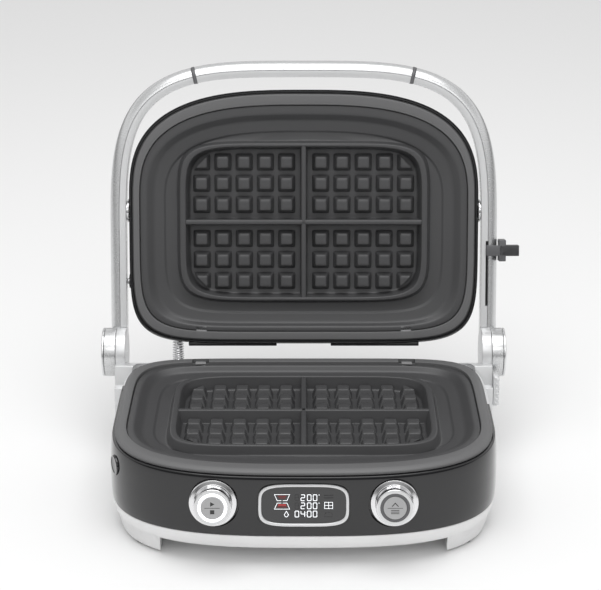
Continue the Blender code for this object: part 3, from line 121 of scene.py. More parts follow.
def toObject(name, shape, space, sharp=40):
    bmesh.ops.recalc_face_normals(shape, faces=shape.faces)
    mesh = bpy.data.meshes.new(name)
    shape.to_mesh(mesh)
    shape.free()
    if space is not None:
        mesh.transform(Matrix.Scale(unit, 4) @ space)
    mesh.shade_smooth()
    mesh.set_sharp_from_angle(angle=math.radians(sharp))
    thing = bpy.data.objects.new(name, mesh)
    bpy.context.scene.collection.objects.link(thing)
    return thing


def loftInto(shape, loops, ring=False, capped=True):
    rows = [[shape.verts.new(p) for p in loop] for loop in loops]
    pairs = list(zip(rows, rows[1:]))
    if ring:
        pairs.append((rows[-1], rows[0]))
    for low, high in pairs:
        count = len(low)
        for i in range(count):
            j = (i + 1) % count
            shape.faces.new((low[i], low[j], high[j], high[i]))
    if capped and not ring:
        shape.faces.new(rows[0])
        shape.faces.new(rows[-1])


def loft(name, loops, space, ring=False, capped=True, sharp=40):
    shape = bmesh.new()
    loftInto(shape, loops, ring, capped)
    return toObject(name, shape, space, sharp)


def boxInto(shape, low, high, turn=None):
    low, high = Vector(low), Vector(high)
    verts = bmesh.ops.create_cube(shape, size=1)["verts"]
    bmesh.ops.scale(shape, vec=high - low, verts=verts)
    bmesh.ops.translate(shape, vec=(low + high) / 2, verts=verts)
    if turn is not None:
        bmesh.ops.transform(shape, matrix=turn, verts=verts)


def boxes(name, spans, space, bevel=0.0, segments=3):
    shape = bmesh.new()
    for low, high in spans:
        boxInto(shape, low, high)
    thing = toObject(name, shape, space)
    if bevel:
        roundOff(thing, bevel, segments)
    return thing


def turnedLoops(profile, count=96):
    return [circle(radius, height, count) for radius, height in profile]


# Applies the modifiers of an object to its mesh.
def bake(thing):
    bpy.context.view_layer.update()
    graph = bpy.context.evaluated_depsgraph_get()
    mesh = bpy.data.meshes.new_from_object(thing.evaluated_get(graph), depsgraph=graph)
    thing.modifiers.clear()
    old = thing.data
    thing.data = mesh
    mesh.name = old.name
    bpy.data.meshes.remove(old)
    return thing


def roundOff(thing, width, segments=3, angle=30):
    edge = thing.modifiers.new("edge", "BEVEL")
    edge.width = width * unit
    edge.segments = segments
    edge.limit_method = "ANGLE"
    edge.angle_limit = math.radians(angle)
    edge.harden_normals = False
    bake(thing)
    thing.data.shade_smooth()
    thing.data.set_sharp_from_angle(angle=math.radians(40))
    return thing


def carve(thing, *tools, operation="DIFFERENCE"):
    for tool in tools:
        change = thing.modifiers.new("cut", "BOOLEAN")
        change.operation = operation
        change.object = tool
        change.solver = "EXACT"
    bake(thing)
    for tool in tools:
        mesh = tool.data
        bpy.data.objects.remove(tool)
        bpy.data.meshes.remove(mesh)
    thing.data.set_sharp_from_angle(angle=math.radians(40))
    return thing


def fuse(thing, *tools):
    return carve(thing, *tools, operation="UNION")


# Gives a piece its material, its body and the CAD nodes that it stands for.
def dress(thing, body, material, *nodes, slot=None):
    if material is not None:
        thing.data.materials.clear()
        thing.data.materials.append(material)
    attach(thing, body)
    if nodes:
        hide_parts(*nodes)
    return thing


def stage(words):
    print("scene:", words, flush=True)


# Shared shader effects. Each returns a mask or a normal; the shaders stand in the materials.
def effectGroup(name, inputs, outputs):
    group = bpy.data.node_groups.new(name, "ShaderNodeTree")
    for label, kind, value in inputs:
        socket = group.interface.new_socket(label, in_out="INPUT", socket_type=kind)
        if value is not None:
            socket.default_value = value
    for label, kind in outputs:
        group.interface.new_socket(label, in_out="OUTPUT", socket_type=kind)
    return group, group.nodes.new("NodeGroupInput"), group.nodes.new("NodeGroupOutput")


# Noise stretched along an axis of the object, as a mask and as a bumped normal.
def grainEffect():
    group, given, result = effectGroup(
        "stretchedGrain",
        (
            ("Scale", "NodeSocketFloat", 400.0),
            ("Stretch", "NodeSocketVector", (1.0, 1.0, 1.0)),
            ("Detail", "NodeSocketFloat", 3.0),
            ("Height", "NodeSocketFloat", 0.1),
        ),
        (("Mask", "NodeSocketFloat"), ("Normal", "NodeSocketVector")),
    )
    place = group.nodes.new("ShaderNodeTexCoord")
    spread = group.nodes.new("ShaderNodeVectorMath")
    spread.operation = "MULTIPLY"
    noise = group.nodes.new("ShaderNodeTexNoise")
    bump = group.nodes.new("ShaderNodeBump")
    bump.inputs["Distance"].default_value = 0.0002
    group.links.new(place.outputs["Object"], spread.inputs[0])
    group.links.new(given.outputs["Stretch"], spread.inputs[1])
    group.links.new(spread.outputs[0], noise.inputs["Vector"])
    group.links.new(given.outputs["Scale"], noise.inputs["Scale"])
    group.links.new(given.outputs["Detail"], noise.inputs["Detail"])
    group.links.new(noise.outputs["Fac"], bump.inputs["Height"])
    group.links.new(given.outputs["Height"], bump.inputs["Strength"])
    group.links.new(noise.outputs["Fac"], result.inputs["Mask"])
    group.links.new(bump.outputs["Normal"], result.inputs["Normal"])
    return group


grain = grainEffect()


# A principled material with two layers of grain: fine, for touch, and broad, for handling.
def newMaterial(name, colour, roughness, metallic=0.0, **more):
    look = {
        "scale": 500.0, "stretch": (1.0, 1.0, 1.0), "detail": 3.0, "height": 0.1,
        "vary": 0.05, "tint": 0.06, "coat": 0.0, "specular": 0.5,
    }
    look.update(more)
    material = bpy.data.materials.new(name)
    material.use_nodes = True
    nodes, links = material.node_tree.nodes, material.node_tree.links
    shader = nodes["Principled BSDF"]
    shader.inputs["Metallic"].default_value = metallic
    shader.inputs["Specular IOR Level"].default_value = look["specular"]
    shader.inputs["Coat Weight"].default_value = look["coat"]
    shader.inputs["Coat Roughness"].default_value = 0.06
    fine = nodes.new("ShaderNodeGroup")
    fine.node_tree = grain
    fine.inputs["Scale"].default_value = look["scale"]
    fine.inputs["Stretch"].default_value = look["stretch"]
    fine.inputs["Detail"].default_value = look["detail"]
    fine.inputs["Height"].default_value = look["height"]
    broad = nodes.new("ShaderNodeGroup")
    broad.node_tree = grain
    broad.inputs["Scale"].default_value = 14.0
    broad.inputs["Detail"].default_value = 4.0
    rough = nodes.new("ShaderNodeMapRange")
    rough.inputs["To Min"].default_value = max(roughness - look["vary"], 0.02)
    rough.inputs["To Max"].default_value = roughness + look["vary"]
    both = nodes.new("ShaderNodeMath")
    both.operation = "MULTIPLY_ADD"
    both.inputs[1].default_value = 0.5
    halved = nodes.new("ShaderNodeMath")
    halved.operation = "MULTIPLY"
    halved.inputs[1].default_value = 0.5
    shade = nodes.new("ShaderNodeMix")
    shade.data_type = "RGBA"
    dark = tuple(c * (1 - look["tint"]) for c in colour)
    light = tuple(min(c * (1 + look["tint"]), 1.0) for c in colour)
    shade.inputs["A"].default_value = (*dark, 1)
    shade.inputs["B"].default_value = (*light, 1)
    links.new(fine.outputs["Mask"], halved.inputs[0])
    links.new(broad.outputs["Mask"], both.inputs[0])
    links.new(halved.outputs[0], both.inputs[2])
    links.new(both.outputs[0], rough.inputs["Value"])
    links.new(both.outputs[0], shade.inputs["Factor"])
    links.new(rough.outputs["Result"], shader.inputs["Roughness"])
    links.new(shade.outputs["Result"], shader.inputs["Base Color"])
    links.new(fine.outputs["Normal"], shader.inputs["Normal"])
    return material


looks = {
    "silver": newMaterial("silverCase", (0.70, 0.705, 0.71), 0.34, 0.55, scale=1400.0, height=0.05),
    "tray": newMaterial("traySilver", (0.80, 0.80, 0.80), 0.40, 0.25, scale=1400.0, height=0.04),
    "handle": newMaterial("handleSilver", (0.66, 0.665, 0.67), 0.27, 0.85, scale=1100.0, height=0.03),
    "strip": newMaterial("handleStrip", (0.74, 0.745, 0.75), 0.34, 0.6, scale=1100.0, height=0.03),
    "brushed": newMaterial(
        "brushedAluminium", (0.76, 0.765, 0.77), 0.26, 1.0, scale=900.0, stretch=(0.03, 1.0, 1.0),
        height=0.12, vary=0.07
    ),
    "chrome": newMaterial("polishedSteel", (0.80, 0.80, 0.81), 0.12, 1.0, scale=700.0, height=0.02),
    "gloss": newMaterial(
        "glossBlack", (0.006, 0.006, 0.007), 0.07, 0.0, scale=300.0, height=0.01, vary=0.02, coat=0.4
    ),
    "matte": newMaterial("matteDarkGrey", (0.118, 0.118, 0.120), 0.46, 0.0, scale=1600.0, height=0.10),
    "nonstick": newMaterial(
        "nonstickCoating", (0.062, 0.062, 0.064), 0.42, 0.15, scale=1500.0, height=0.12, vary=0.06,
        tint=0.10
    ),
    "collar": newMaterial("collarGrey", (0.11, 0.11, 0.115), 0.40, 0.2, scale=1200.0, height=0.06),
    "rubber": newMaterial("blackRubber", (0.025, 0.025, 0.025), 0.80, 0.0, scale=900.0, height=0.2),
    "sheet": newMaterial("aluminiumSheet", (0.62, 0.62, 0.63), 0.40, 1.0, scale=800.0, height=0.08),
    "element": newMaterial("heaterSheath", (0.16, 0.15, 0.14), 0.55, 0.7, scale=600.0, height=0.2),
    "board": newMaterial("circuitBoard", (0.03, 0.16, 0.06), 0.50, 0.0, scale=500.0, height=0.1),
    # Near-black painted shade for the inside of the handle's lever slot, darker than rubber.
    "hollow": newMaterial("slotDark", (0.012, 0.012, 0.012), 0.70, 0.0, scale=900.0, height=0.1),
}

# Outlines shared by plates, bezels and shells
plate = {
    "face": (9.8, 14.0, 11.2), "ledge": (6.0, 8.0, 4.2), "slope": (6.8, 6.4, 3.2),
    "flat": (9.5, 9.5, 8.9), "floor": (14.6, 11.2, 12.5), "ridge": (8.9, 5.2, 5.2),
    "flangeDrop": 2.2, "flangeThick": 3.0, "slopeDrop": 5.3, "stepDrop": 1.1, "stepEdge": 1.2,
    "stepWidth": 1.8, "ridgeDrop": 0.8, "wellDepth": 14.0, "wall": 3.4, "draft": 1.0,
    "pitch": 20.4, "first": 16.4, "studBase": 15.8, "studTop": 10.2, "studHeight": 8.8,
    "dividerWidth": 6.0, "dividerTop": 4.6, "dividerHeight": 12.8, "columns": 5, "rows": 3,
    "tabX": 98.5, "tabWidth": 10.0, "tabThick": 1.6, "tabLength": 10.0, "tabRecess": 16.0,
}
mouth = stepIn(rim, plate["face"])
plateEdge = grow(mouth, -0.7)
slopeLine = stepIn(plateEdge, plate["ledge"])
flatLine = stepIn(slopeLine, plate["slope"])
stepLine = stepIn(flatLine, plate["flat"])
ridgeLine = stepIn(stepLine, plate["floor"])
wellLine = stepIn(ridgeLine, plate["ridge"])
wellCentre = (wellLine[1] + wellLine[2]) / 2
rimDrop = 1.75


# One waffle stud: a square with rounded corners that narrows upwards, with a foot that flares into
# the floor. halved cuts it along its diagonal, towards +x +y.
def studShape(halved):
    def corner(size, height, rounding):
        reach = size / 2
        ends = [(1, 1), (-1, 1), (-1, -1), (1, -1)]
        if halved:
            ends = [(-1, 1), (-1, -1), (1, -1)]
        points = []
        for i, (x, y) in enumerate(ends):
            here = Vector((x * reach, y * reach))
            before = Vector(ends[i - 1]) * reach
            after = Vector(ends[(i + 1) % len(ends)]) * reach
            start = here + (before - here).normalized() * rounding
            end = here + (after - here).normalized() * rounding
            for k in range(6):
                t = k / 5
                spot = start.lerp(here, t).lerp(here.lerp(end, t), t)
                points.append(Vector((spot.x, spot.y, height)))
        return points

    base, top, tall = plate["studBase"], plate["studTop"], plate["studHeight"]
    line = (
        (base + 1.6, -0.35, 2.6), (base + 0.7, 0.12, 2.2), (base, 0.75, 1.9),
        (top + 0.9, tall - 1.1, 1.8), (top + 0.35, tall - 0.35, 1.9), (top - 0.7, tall, 1.8),
        (top * 0.5, tall, 1.2),
    )
    shape = bmesh.new()
    loftInto(shape, [corner(*level) for level in line])
    return shape


def studPlaces():
    across = [plate["first"] + plate["pitch"] * i for i in range(plate["columns"])]
    along = [plate["first"] + plate["pitch"] * i for i in range(plate["rows"])]
    return across, along


# Sets a copy of one mesh on every point, turned by the point's own turn.
def scatterGroup(name, source, material):
    group = bpy.data.node_groups.new(name, "GeometryNodeTree")
    group.interface.new_socket("Geometry", in_out="INPUT", socket_type="NodeSocketGeometry")
    size = group.interface.new_socket("Size", in_out="INPUT", socket_type="NodeSocketFloat")
    size.default_value = 1.0
    group.interface.new_socket("Geometry", in_out="OUTPUT", socket_type="NodeSocketGeometry")
    nodes, links = group.nodes, group.links
    given, result = nodes.new("NodeGroupInput"), nodes.new("NodeGroupOutput")
    item = nodes.new("GeometryNodeObjectInfo")
    item.inputs["Object"].default_value = source
    turn = nodes.new("GeometryNodeInputNamedAttribute")
    turn.data_type = "FLOAT"
    turn.inputs["Name"].default_value = "turn"
    euler = nodes.new("ShaderNodeCombineXYZ")
    copies = nodes.new("GeometryNodeInstanceOnPoints")
    real = nodes.new("GeometryNodeRealizeInstances")
    paint = nodes.new("GeometryNodeSetMaterial")
    paint.inputs["Material"].default_value = material
    links.new(given.outputs["Geometry"], copies.inputs["Points"])
    links.new(given.outputs["Size"], copies.inputs["Scale"])
    links.new(item.outputs["Geometry"], copies.inputs["Instance"])
    links.new(turn.outputs["Attribute"], euler.inputs["Z"])
    links.new(euler.outputs["Vector"], copies.inputs["Rotation"])
    links.new(copies.outputs["Instances"], real.inputs["Geometry"])
    links.new(real.outputs["Geometry"], paint.inputs["Geometry"])
    links.new(paint.outputs["Geometry"], result.inputs["Geometry"])
    return group


# places are (x, y, z, turn) in the piece's own millimetres. source is a shape in millimetres.
def scatter(name, source, places, material, space):
    part = toObject(name + "Source", source, Matrix.Identity(4), 50)
    mesh = bpy.data.meshes.new(name)
    mesh.from_pydata([Vector(place[:3]) * unit for place in places], [], [])
    turns = mesh.attributes.new("turn", "FLOAT", "POINT")
    turns.data.foreach_set("value", [place[3] for place in places])
    thing = bpy.data.objects.new(name, mesh)
    bpy.context.scene.collection.objects.link(thing)
    repeat = thing.modifiers.new("repeat", "NODES")
    repeat.node_group = scatterGroup(name + "Repeat", part, material)
    bake(thing)
    scaled = space.copy()
    scaled.translation = space.translation * unit
    thing.data.transform(scaled)
    if scaled.determinant() < 0:
        thing.data.flip_normals()
    mesh = part.data
    bpy.data.objects.remove(part)
    bpy.data.meshes.remove(mesh)
    return thing


# One object out of several, with their meshes side by side.
def joinMeshes(name, things):
    shape = bmesh.new()
    for thing in things:
        shape.from_mesh(thing.data)
        mesh = thing.data
        bpy.data.objects.remove(thing)
        bpy.data.meshes.remove(mesh)
    mesh = bpy.data.meshes.new(name)
    shape.to_mesh(mesh)
    shape.free()
    mesh.shade_smooth()
    mesh.set_sharp_from_angle(angle=math.radians(50))
    made = bpy.data.objects.new(name, mesh)
    bpy.context.scene.collection.objects.link(made)
    return made


# A cast plate facing up in its own space: drop lowers its face below the mating plane.
def grillPlate(name, body, space, drop, node):
    def at(depth):
        return -(drop + depth)

    flange, slope = plate["flangeDrop"], plate["slopeDrop"]
    flat = flange + slope + plate["stepDrop"] + plate["stepEdge"]
    ridgeTop = stepIn(ridgeLine, plate["ridge"], 0.15)
    ridgeBack = stepIn(ridgeLine, plate["ridge"], 0.75)
    ridgeFoot = stepIn(ridgeLine, plate["ridge"], -0.2)
    floorLine = grow(wellLine, -plate["draft"])
    upper = [
        (planLoop(plateEdge, at(flange)), 0.5),
        (planLoop(slopeLine, at(flange)), 1.6),
        (planLoop(flatLine, at(flange + slope)), 2.4),
        (planLoop(stepLine, at(flange + slope + plate["stepDrop"])), 0.7),
        (planLoop(grow(stepLine, -plate["stepWidth"]), at(flat)), 0.9),
        (planLoop(ridgeFoot, at(flat), well=True), 1.8),
        (planLoop(ridgeTop, at(plate["ridgeDrop"]), well=True), 1.3),
        (planLoop(ridgeBack, at(plate["ridgeDrop"]), well=True), 1.2),
        (planLoop(floorLine, at(plate["wellDepth"]), well=True), 2.0),
    ]
    under = flange + plate["flangeThick"]
    lower = [
        (planLoop(plateEdge, at(under)), 0.4),
        (planLoop(grow(slopeLine, -0.3), at(under)), 0.0),
        (planLoop(grow(flatLine, -0.3), at(under + slope)), 0.0),
        (planLoop(ridgeFoot, at(flat + plate["wall"]), well=True), 0.0),
        (planLoop(grow(wellLine, plate["wall"]), at(plate["wellDepth"] + plate["wall"]), well=True), 0.0),
    ]
    inner = planLoop(grow(floorLine, -8.0), at(plate["wellDepth"]), well=True)
    loops = [inner] + [loop for loop, _ in upper[::-1]] + [loop for loop, _ in lower]
    radii = [0.0] + [radius for _, radius in upper[::-1]] + [radius for _, radius in lower]
    pan = loft(name, fillet(loops, radii), space, sharp=60)
    across, along = studPlaces()
    floor = at(plate["wellDepth"])
    whole, corners = [], []
    for x in across:
        for y in along:
            for sx in (-1, 1):
                for sy in (-1, 1):
                    spot = (sx * x, sy * y - wellCentre, floor)
                    if x == across[-1] and y == along[-1]:
                        turn = {(1, 1): 0, (-1, 1): 90, (-1, -1): 180, (1, -1): 270}[(sx, sy)]
                        corners.append((*spot, math.radians(turn)))
                    else:
                        whole.append((*spot, 0.0))
    paint = looks["nonstick"]
    studs = scatter(name + "Studs", studShape(False), whole, paint, space)
    ends = scatter(name + "Corners", studShape(True), corners, paint, space)
    bars = []
    wide, narrow, tall = plate["dividerWidth"], plate["dividerTop"], plate["dividerHeight"]
    reachX = wellLine[0] + 2.0
    reachY = (wellLine[1] - wellLine[2]) / 2 + 2.0
    for label, reach, turned in (("Cross", reachX, False), ("Bar", reachY, True)):
        line = (
            (wide / 2 + 1.3, -0.4), (wide / 2 + 0.4, 0.15), (wide / 2, 0.9), (narrow / 2, tall - 1.0),
            (narrow / 2 - 0.35, tall - 0.3), (narrow / 2 - 1.0, tall), (-narrow / 2 + 1.0, tall),
            (-narrow / 2 + 0.35, tall - 0.3), (-narrow / 2, tall - 1.0), (-wide / 2, 0.9),
            (-wide / 2 - 0.4, 0.15), (-wide / 2 - 1.3, -0.4),
        )
        ends2 = []
        for end in (-reach, reach):
            if turned:
                ends2.append([Vector((s, end - wellCentre, floor + h)) for s, h in line])
            else:
                ends2.append([Vector((end, s - wellCentre, floor + h)) for s, h in line])
        bars.append(loft(name + label, ends2, space, sharp=50))
    tabs = boxes(
        name + "Tabs",
        [
            (
                (m * plate["tabX"] - plate["tabWidth"] / 2, -mouth[2] - plate["tabLength"] / 2,
                 at(flange + plate["tabThick"])),
                (m * plate["tabX"] + plate["tabWidth"] / 2, -mouth[2] + plate["tabLength"] / 2, at(flange)),
            )
            for _, m in sides
        ],
        space, 0.35
    )
    tabs.data.materials.append(newTab)
    dress(tabs, body, newTab)
    whole = joinMeshes(name, [pan, studs, ends, *bars])
    return dress(whole, body, paint, node, slot="nonstick")


newTab = newMaterial("tabGrey", (0.34, 0.34, 0.345), 0.42, 0.3, scale=900.0, height=0.08)

stage("plates")
facingDown = Matrix.Scale(-1, 4, (0, 0, 1))
grillPlate("lowerPlate", "base", baseSpace, rimDrop, "lower_plate")
grillPlate("upperPlate", "lid", openSpace @ facingDown, 0.0, "upper_plate")

bezel = {
    "face": 4.0, "height": 4.4, "lip": 4.2, "lipSize": 1.4, "edge": 2.4, "round": 1.2, "wall": 2.5,
}


def bezelRing(name, body, space, drop, outer, node):
    def at(depth):
        return -(drop + depth)

    lipTop = plate["flangeDrop"] + plate["flangeThick"] + 0.3
    lipBottom = lipTop + bezel["lipSize"]
    face = stepIn(rim, (bezel["face"], bezel["face"] + 0.3, bezel["face"]))
    line = [
        (planLoop(mouth, at(lipTop)), 0.0),
        (planLoop(mouth, at(0)), 0.7),
        (planLoop(face, at(0)), 0.9),
        (planLoop(grow(outer, -bezel["round"]), at(bezel["edge"] / 2)), 1.6),
        (planLoop(outer, at(bezel["edge"])), 0.5),
        (planLoop(outer, at(bezel["height"])), 0.3),
        (planLoop(grow(mouth, bezel["lip"]), at(bezel["height"])), 0.0),
        (planLoop(grow(mouth, bezel["lip"]), at(lipBottom)), 0.0),
        (planLoop(grow(mouth, -bezel["lip"]), at(lipBottom)), 0.0),
        (planLoop(grow(mouth, -bezel["lip"]), at(lipTop)), 0.0),
    ]
    ring = loft(name, fillet([loop for loop, _ in line], [r for _, r in line], ring=True), space, ring=True)
    cutters = boxes(
        name + "Recess",
        [
            (
                (m * plate["tabX"] - plate["tabRecess"] / 2, -mouth[2] - plate["tabLength"],
                 at(plate["flangeDrop"] + plate["tabThick"] + 0.3)),
                (m * plate["tabX"] + plate["tabRecess"] / 2,
                 -mouth[2] + plate["tabLength"] / 2 + 0.3, 20.0),
            )
            for _, m in sides
        ],
        space
    )
    carve(ring, cutters)
    return dress(ring, body, looks["matte"], node, slot="dark_matte")


stage("bezels")
bezelRing("baseBezel", "base", baseSpace, rimDrop, rim, "base_bezel")
bezelRing("lidBezel", "lid", openSpace @ facingDown, 0.0, grow(rim, -bezel["wall"]), "lid_bezel")

# The wall of the base: how far it stands out from the rim at each depth below the axis
shell = {
    "depths": (6.5, 12.0, 20.0, 36.0, 52.0, 61.3), "bulges": (2.4, 3.6, 4.3, 4.8, 4.8, 4.2),
    "wall": 2.5, "deckTop": 8.95, "deckThick": 2.0, "deckWidth": 4.2, "endLeft": 65.0, "endRight": 106.0,
}


def shellLoops(inset=0.0):
    return [planLoop(grow(rim, b - inset), -d) for d, b in zip(shell["depths"], shell["bulges"])]


def baseShell(name):
    deck = shell["deckTop"]
    inner = grow(mouth, -shell["deckWidth"])
    step = grow(mouth, bezel["lip"] + 0.3)
    outside, inside = shellLoops(), shellLoops(shell["wall"])[1:]
    line = [
        *outside,
        *inside[::-1],
        planLoop(grow(rim, shell["bulges"][0] - shell["wall"]), -deck - shell["deckThick"]),
        planLoop(inner, -deck - shell["deckThick"]),
        planLoop(inner, -deck),
        planLoop(step, -deck),
        planLoop(step, -shell["depths"][0]),
    ]
    radii = [0.0] * len(line)
    radii[0] = 0.7
    for i in range(1, len(outside) - 1):
        radii[i] = 4.0
    radii[len(outside) - 1] = 0.5
    return loft(name, fillet(line, radii, ring=True, steps=3), baseSpace, ring=True, sharp=35)


# The half of the space behind the ends of the band, or in front of them.
def partingBox(name, front, gap):
    far = 400.0
    shape = bmesh.new()
    if front:
        points = [(-far, -far), (far, -far), (far, -shell["endRight"] - gap), (0, -shell["endRight"] - gap),
                  (0, -shell["endLeft"] - gap), (-far, -shell["endLeft"] - gap)]
    else:
        points = [(-far, far), (-far, -shell["endLeft"] + gap), (0, -shell["endLeft"] + gap),
                  (0, -shell["endRight"] + gap), (far, -shell["endRight"] + gap), (far, far)]
    loftInto(shape, [[Vector((x, y, z)) for x, y in points] for z in (-far, far)])
    return toObject(name, shape, baseSpace)


# Knobs, display and release button: frames on the wall of the base, with z pointing out
panel = {"tilt": 10.0, "knobX": 76.6, "depth": 32.4, "knobSink": 4.0, "displaySink": 3.4}


def panelSpace(x, sink):
    across = abs(x / rim[0]) ** frontRound
    reach = (rim[1] - planCentre) * (1 - across) ** (1 / frontRound)
    forward = planCentre + reach + shell["bulges"][3] - sink
    turn = Matrix.Rotation(math.pi / 2 - math.radians(panel["tilt"]), 4, "X")
    return baseSpace @ Matrix.Translation((x, -forward, -panel["depth"])) @ turn


release = {"forward": 195.0, "depth": 23.0, "radius": 8.7, "proud": 1.6, "inside": 6.0, "rest": 0.3}
buttonAlong = (release["forward"] - planCentre) / (rim[1] - planCentre)
buttonAcross = (1 - buttonAlong ** frontRound) ** (1 / frontRound)
buttonTurn = math.atan2(
    buttonAlong ** (frontRound - 1) / (rim[1] - planCentre), buttonAcross ** (frontRound - 1) / rim[0]
)
buttonSpace = (
    baseSpace
    @ Matrix.Translation((
        -rim[0] * buttonAcross - shell["bulges"][2] * math.cos(buttonTurn),
        -release["forward"] - shell["bulges"][2] * math.sin(buttonTurn),
        -release["depth"],
    ))
    @ Matrix.Rotation(-math.pi / 2 + buttonTurn, 4, "Z")
    @ Matrix.Rotation(math.pi / 2, 4, "X")
)
knobSpaces = {label: panelSpace(m * panel["knobX"], panel["knobSink"]) for label, m in sides}
displaySpace = panelSpace(0.0, panel["displaySink"])
display = {"half": (38.35, 18.7), "round": 4.2, "frame": 2.6, "height": 3.2, "glass": 1.6}


def squircle(inset, height, count=96):
    points = []
    for i in range(count):
        across, along = superellipse(2 * math.pi * i / count, display["round"])
        half, rise = (size - inset for size in display["half"])
        points.append(Vector((half * across, rise * along, height)))
    return points


stage("base shell")
seatGap, seatWall, seatFloor = 1.7, 1.6, 2.2
knobSize = {
    "skirt": 20.5, "skirtHeight": 4.0, "barrel": 15.9, "height": 17.0, "ringOuter": 12.2,
    "ringInner": 10.15, "button": 9.85, "proud": 0.6, "under": 0.3, "bore": 12.5, "seat": 6.0,
}


def frontBand():
    band = baseShell("frontBand")
    carve(band, partingBox("bandPart", False, -0.3))
    within = [planLoop(grow(rim, b - 0.3), -d) for d, b in zip(shell["depths"], shell["bulges"])]
    outer = knobSize["skirt"] + seatGap
    for label, space in knobSpaces.items():
        profile = ((outer + seatWall, -seatFloor), (outer + seatWall, 20.0))
        cup = loft(label + "Cup", turnedLoops(profile), space)
        carve(cup, loft("envelope", within, baseSpace), operation="INTERSECT")
        fuse(band, cup)
    back = loft("displayBack", [squircle(-seatGap - seatWall, h) for h in (-seatFloor, 20.0)], displaySpace)
    carve(back, loft("envelope", within, baseSpace), operation="INTERSECT")
    fuse(band, back)
    hole = release["radius"] + release["rest"]
    cutters = [
        loft(label + "Seat", turnedLoops(((outer, 0.0), (outer, 30.0))), space)
        for label, space in knobSpaces.items()
    ]
    cutters += [
        loft("displaySeat", [squircle(-seatGap, h) for h in (0.0, 30.0)], displaySpace),
        loft("releaseSeat", turnedLoops(((hole, -12.0), (hole, 30.0)), 64), buttonSpace),
    ]
    carve(band, *cutters)
    return dress(band, "base", looks["gloss"], "front_band", slot="black_gloss")


def rearHousing():
    housing = baseShell("rearHousing")
    carve(housing, partingBox("housingPart", True, 0.0))
    return dress(housing, "base", looks["silver"], "rear_housing", slot="silver_case")


frontBand()
rearHousing()


# Tray with four feet
stage("tray, ears and release lever")
tray = {
    "depths": (61.6, 69.0, 74.5, 76.5), "bulges": (4.0, 3.2, 1.0, -4.0), "wall": 2.5, "foot": 90.3,
    "footWidth": 20.0, "draft": 4.0, "footX": 124.0, "reachFront": 68.0, "reachRear": 30.0, "pad": 6.5,
}


def baseTray():
    wall = tray["wall"]
    outer = [planLoop(grow(rim, b), -d) for d, b in zip(tray["depths"], tray["bulges"])]
    inner = [planLoop(grow(rim, b - wall), -d) for d, b in zip(tray["depths"], tray["bulges"][:-1])]
    inner.append(planLoop(grow(rim, tray["bulges"][-1] - wall), wall - tray["depths"][-1]))
    radii = [0, 1.0, 0, 0, 0.9, 3.0, 2.2, 1.5]
    body = loft("baseTray", fillet(inner[::-1] + outer, radii, steps=5), baseSpace, sharp=50)
    edge = grow(rim, tray["bulges"][2])
    rings = [
        planLoop(edge, -tray["depths"][2] + 1.0),
        planLoop(grow(edge, -tray["draft"]), -tray["foot"]),
        planLoop(grow(edge, -tray["footWidth"]), -tray["foot"]),
        planLoop(grow(edge, -tray["footWidth"]), -tray["depths"][2] - 0.3),
    ]
    feet = loft("feet", fillet(rings, [0, 2.4, 2.0, 0], ring=True, steps=4), baseSpace, ring=True)
    far = rim[0] + 60.0
    spans = []
    for near, end in ((-rim[1] + tray["reachFront"], -rim[1] - 60.0), (-rim[2] - tray["reachRear"], 60.0)):
        for _, mirror in sides:
            xs = sorted((mirror * tray["footX"], mirror * far))
            ys = sorted((near, end))
            spans.append(((xs[0], ys[0], -100.0), (xs[1], ys[1], -60.0)))
    carve(feet, boxes("footCorners", spans, baseSpace), operation="INTERSECT")
    roundOff(feet, 1.2, 3, angle=60)
    fuse(body, feet)
    return dress(body, "base", looks["tray"], "base_tray", slot="silver_case")


def footPads():
    inset = grow(rim, tray["bulges"][2] - 11.5)
    half = (inset[0] + tray["footX"]) / 2
    pad = tray["pad"]
    profile = ((0.0, -92.0), (pad - 0.6, -92.0), (pad, -91.5), (pad, -90.6), (0.0, -90.6))
    ends = (("front", frontRound, inset[1] - planCentre), ("rear", rearRound, inset[2] - planCentre))
    for end, roundness, reach in ends:
        along = reach * (1 - (half / inset[0]) ** roundness) ** (1 / roundness)
        for label, mirror in sides:
            place = baseSpace @ Matrix.Translation((mirror * half, -planCentre - along, 0))
            loops = turnedLoops([(max(r, 0.05), z) for r, z in profile], 48)
            made = loft(end + "Pad" + label, loops, place)
            dress(made, "base", looks["rubber"], f"foot_pad_{end}_{label}", slot="rubber")


# Ears that carry the fixed halves of the hubs
ear = {"radius": 23.3, "inner": 170.0, "split": 179.4, "neck": 132.5, "pin": 6.0}
earProfile = (
    (6.0, -14.0), (-24.0, -2.0), (-30.0, -2.0), (-35.0, -18.7), (-35.0, -19.5), (-43.0, -19.5),
    (-43.0, -55.3), (-37.0, -61.3), (-18.0, -61.3), (0.0, -49.3), (6.0, -37.3),
)
alongX = Matrix.Rotation(math.pi / 2, 4, "Y")


# A cylinder along x with rounded rims, from low to high on one side.
def disc(name, radius, low, high, mirror, space, round=0.9, hollow=0.0, count=128):
    outer = [(radius, low), (radius, high)]
    if hollow:
        ring = [(hollow, low), (radius, low), (radius, high), (hollow, high)]
        loops = fillet(turnedLoops(ring, count), [0.2, round, round, 0.2], ring=True, steps=4)
        return loft(name, loops, space @ Matrix.Scale(mirror, 4, (1, 0, 0)) @ alongX, ring=True)
    loops = turnedLoops([(0.05, low)] + outer + [(0.05, high)], count)
    loops = fillet(loops, [0, round, round, 0], steps=4)
    return loft(name, loops, space @ Matrix.Scale(mirror, 4, (1, 0, 0)) @ alongX)


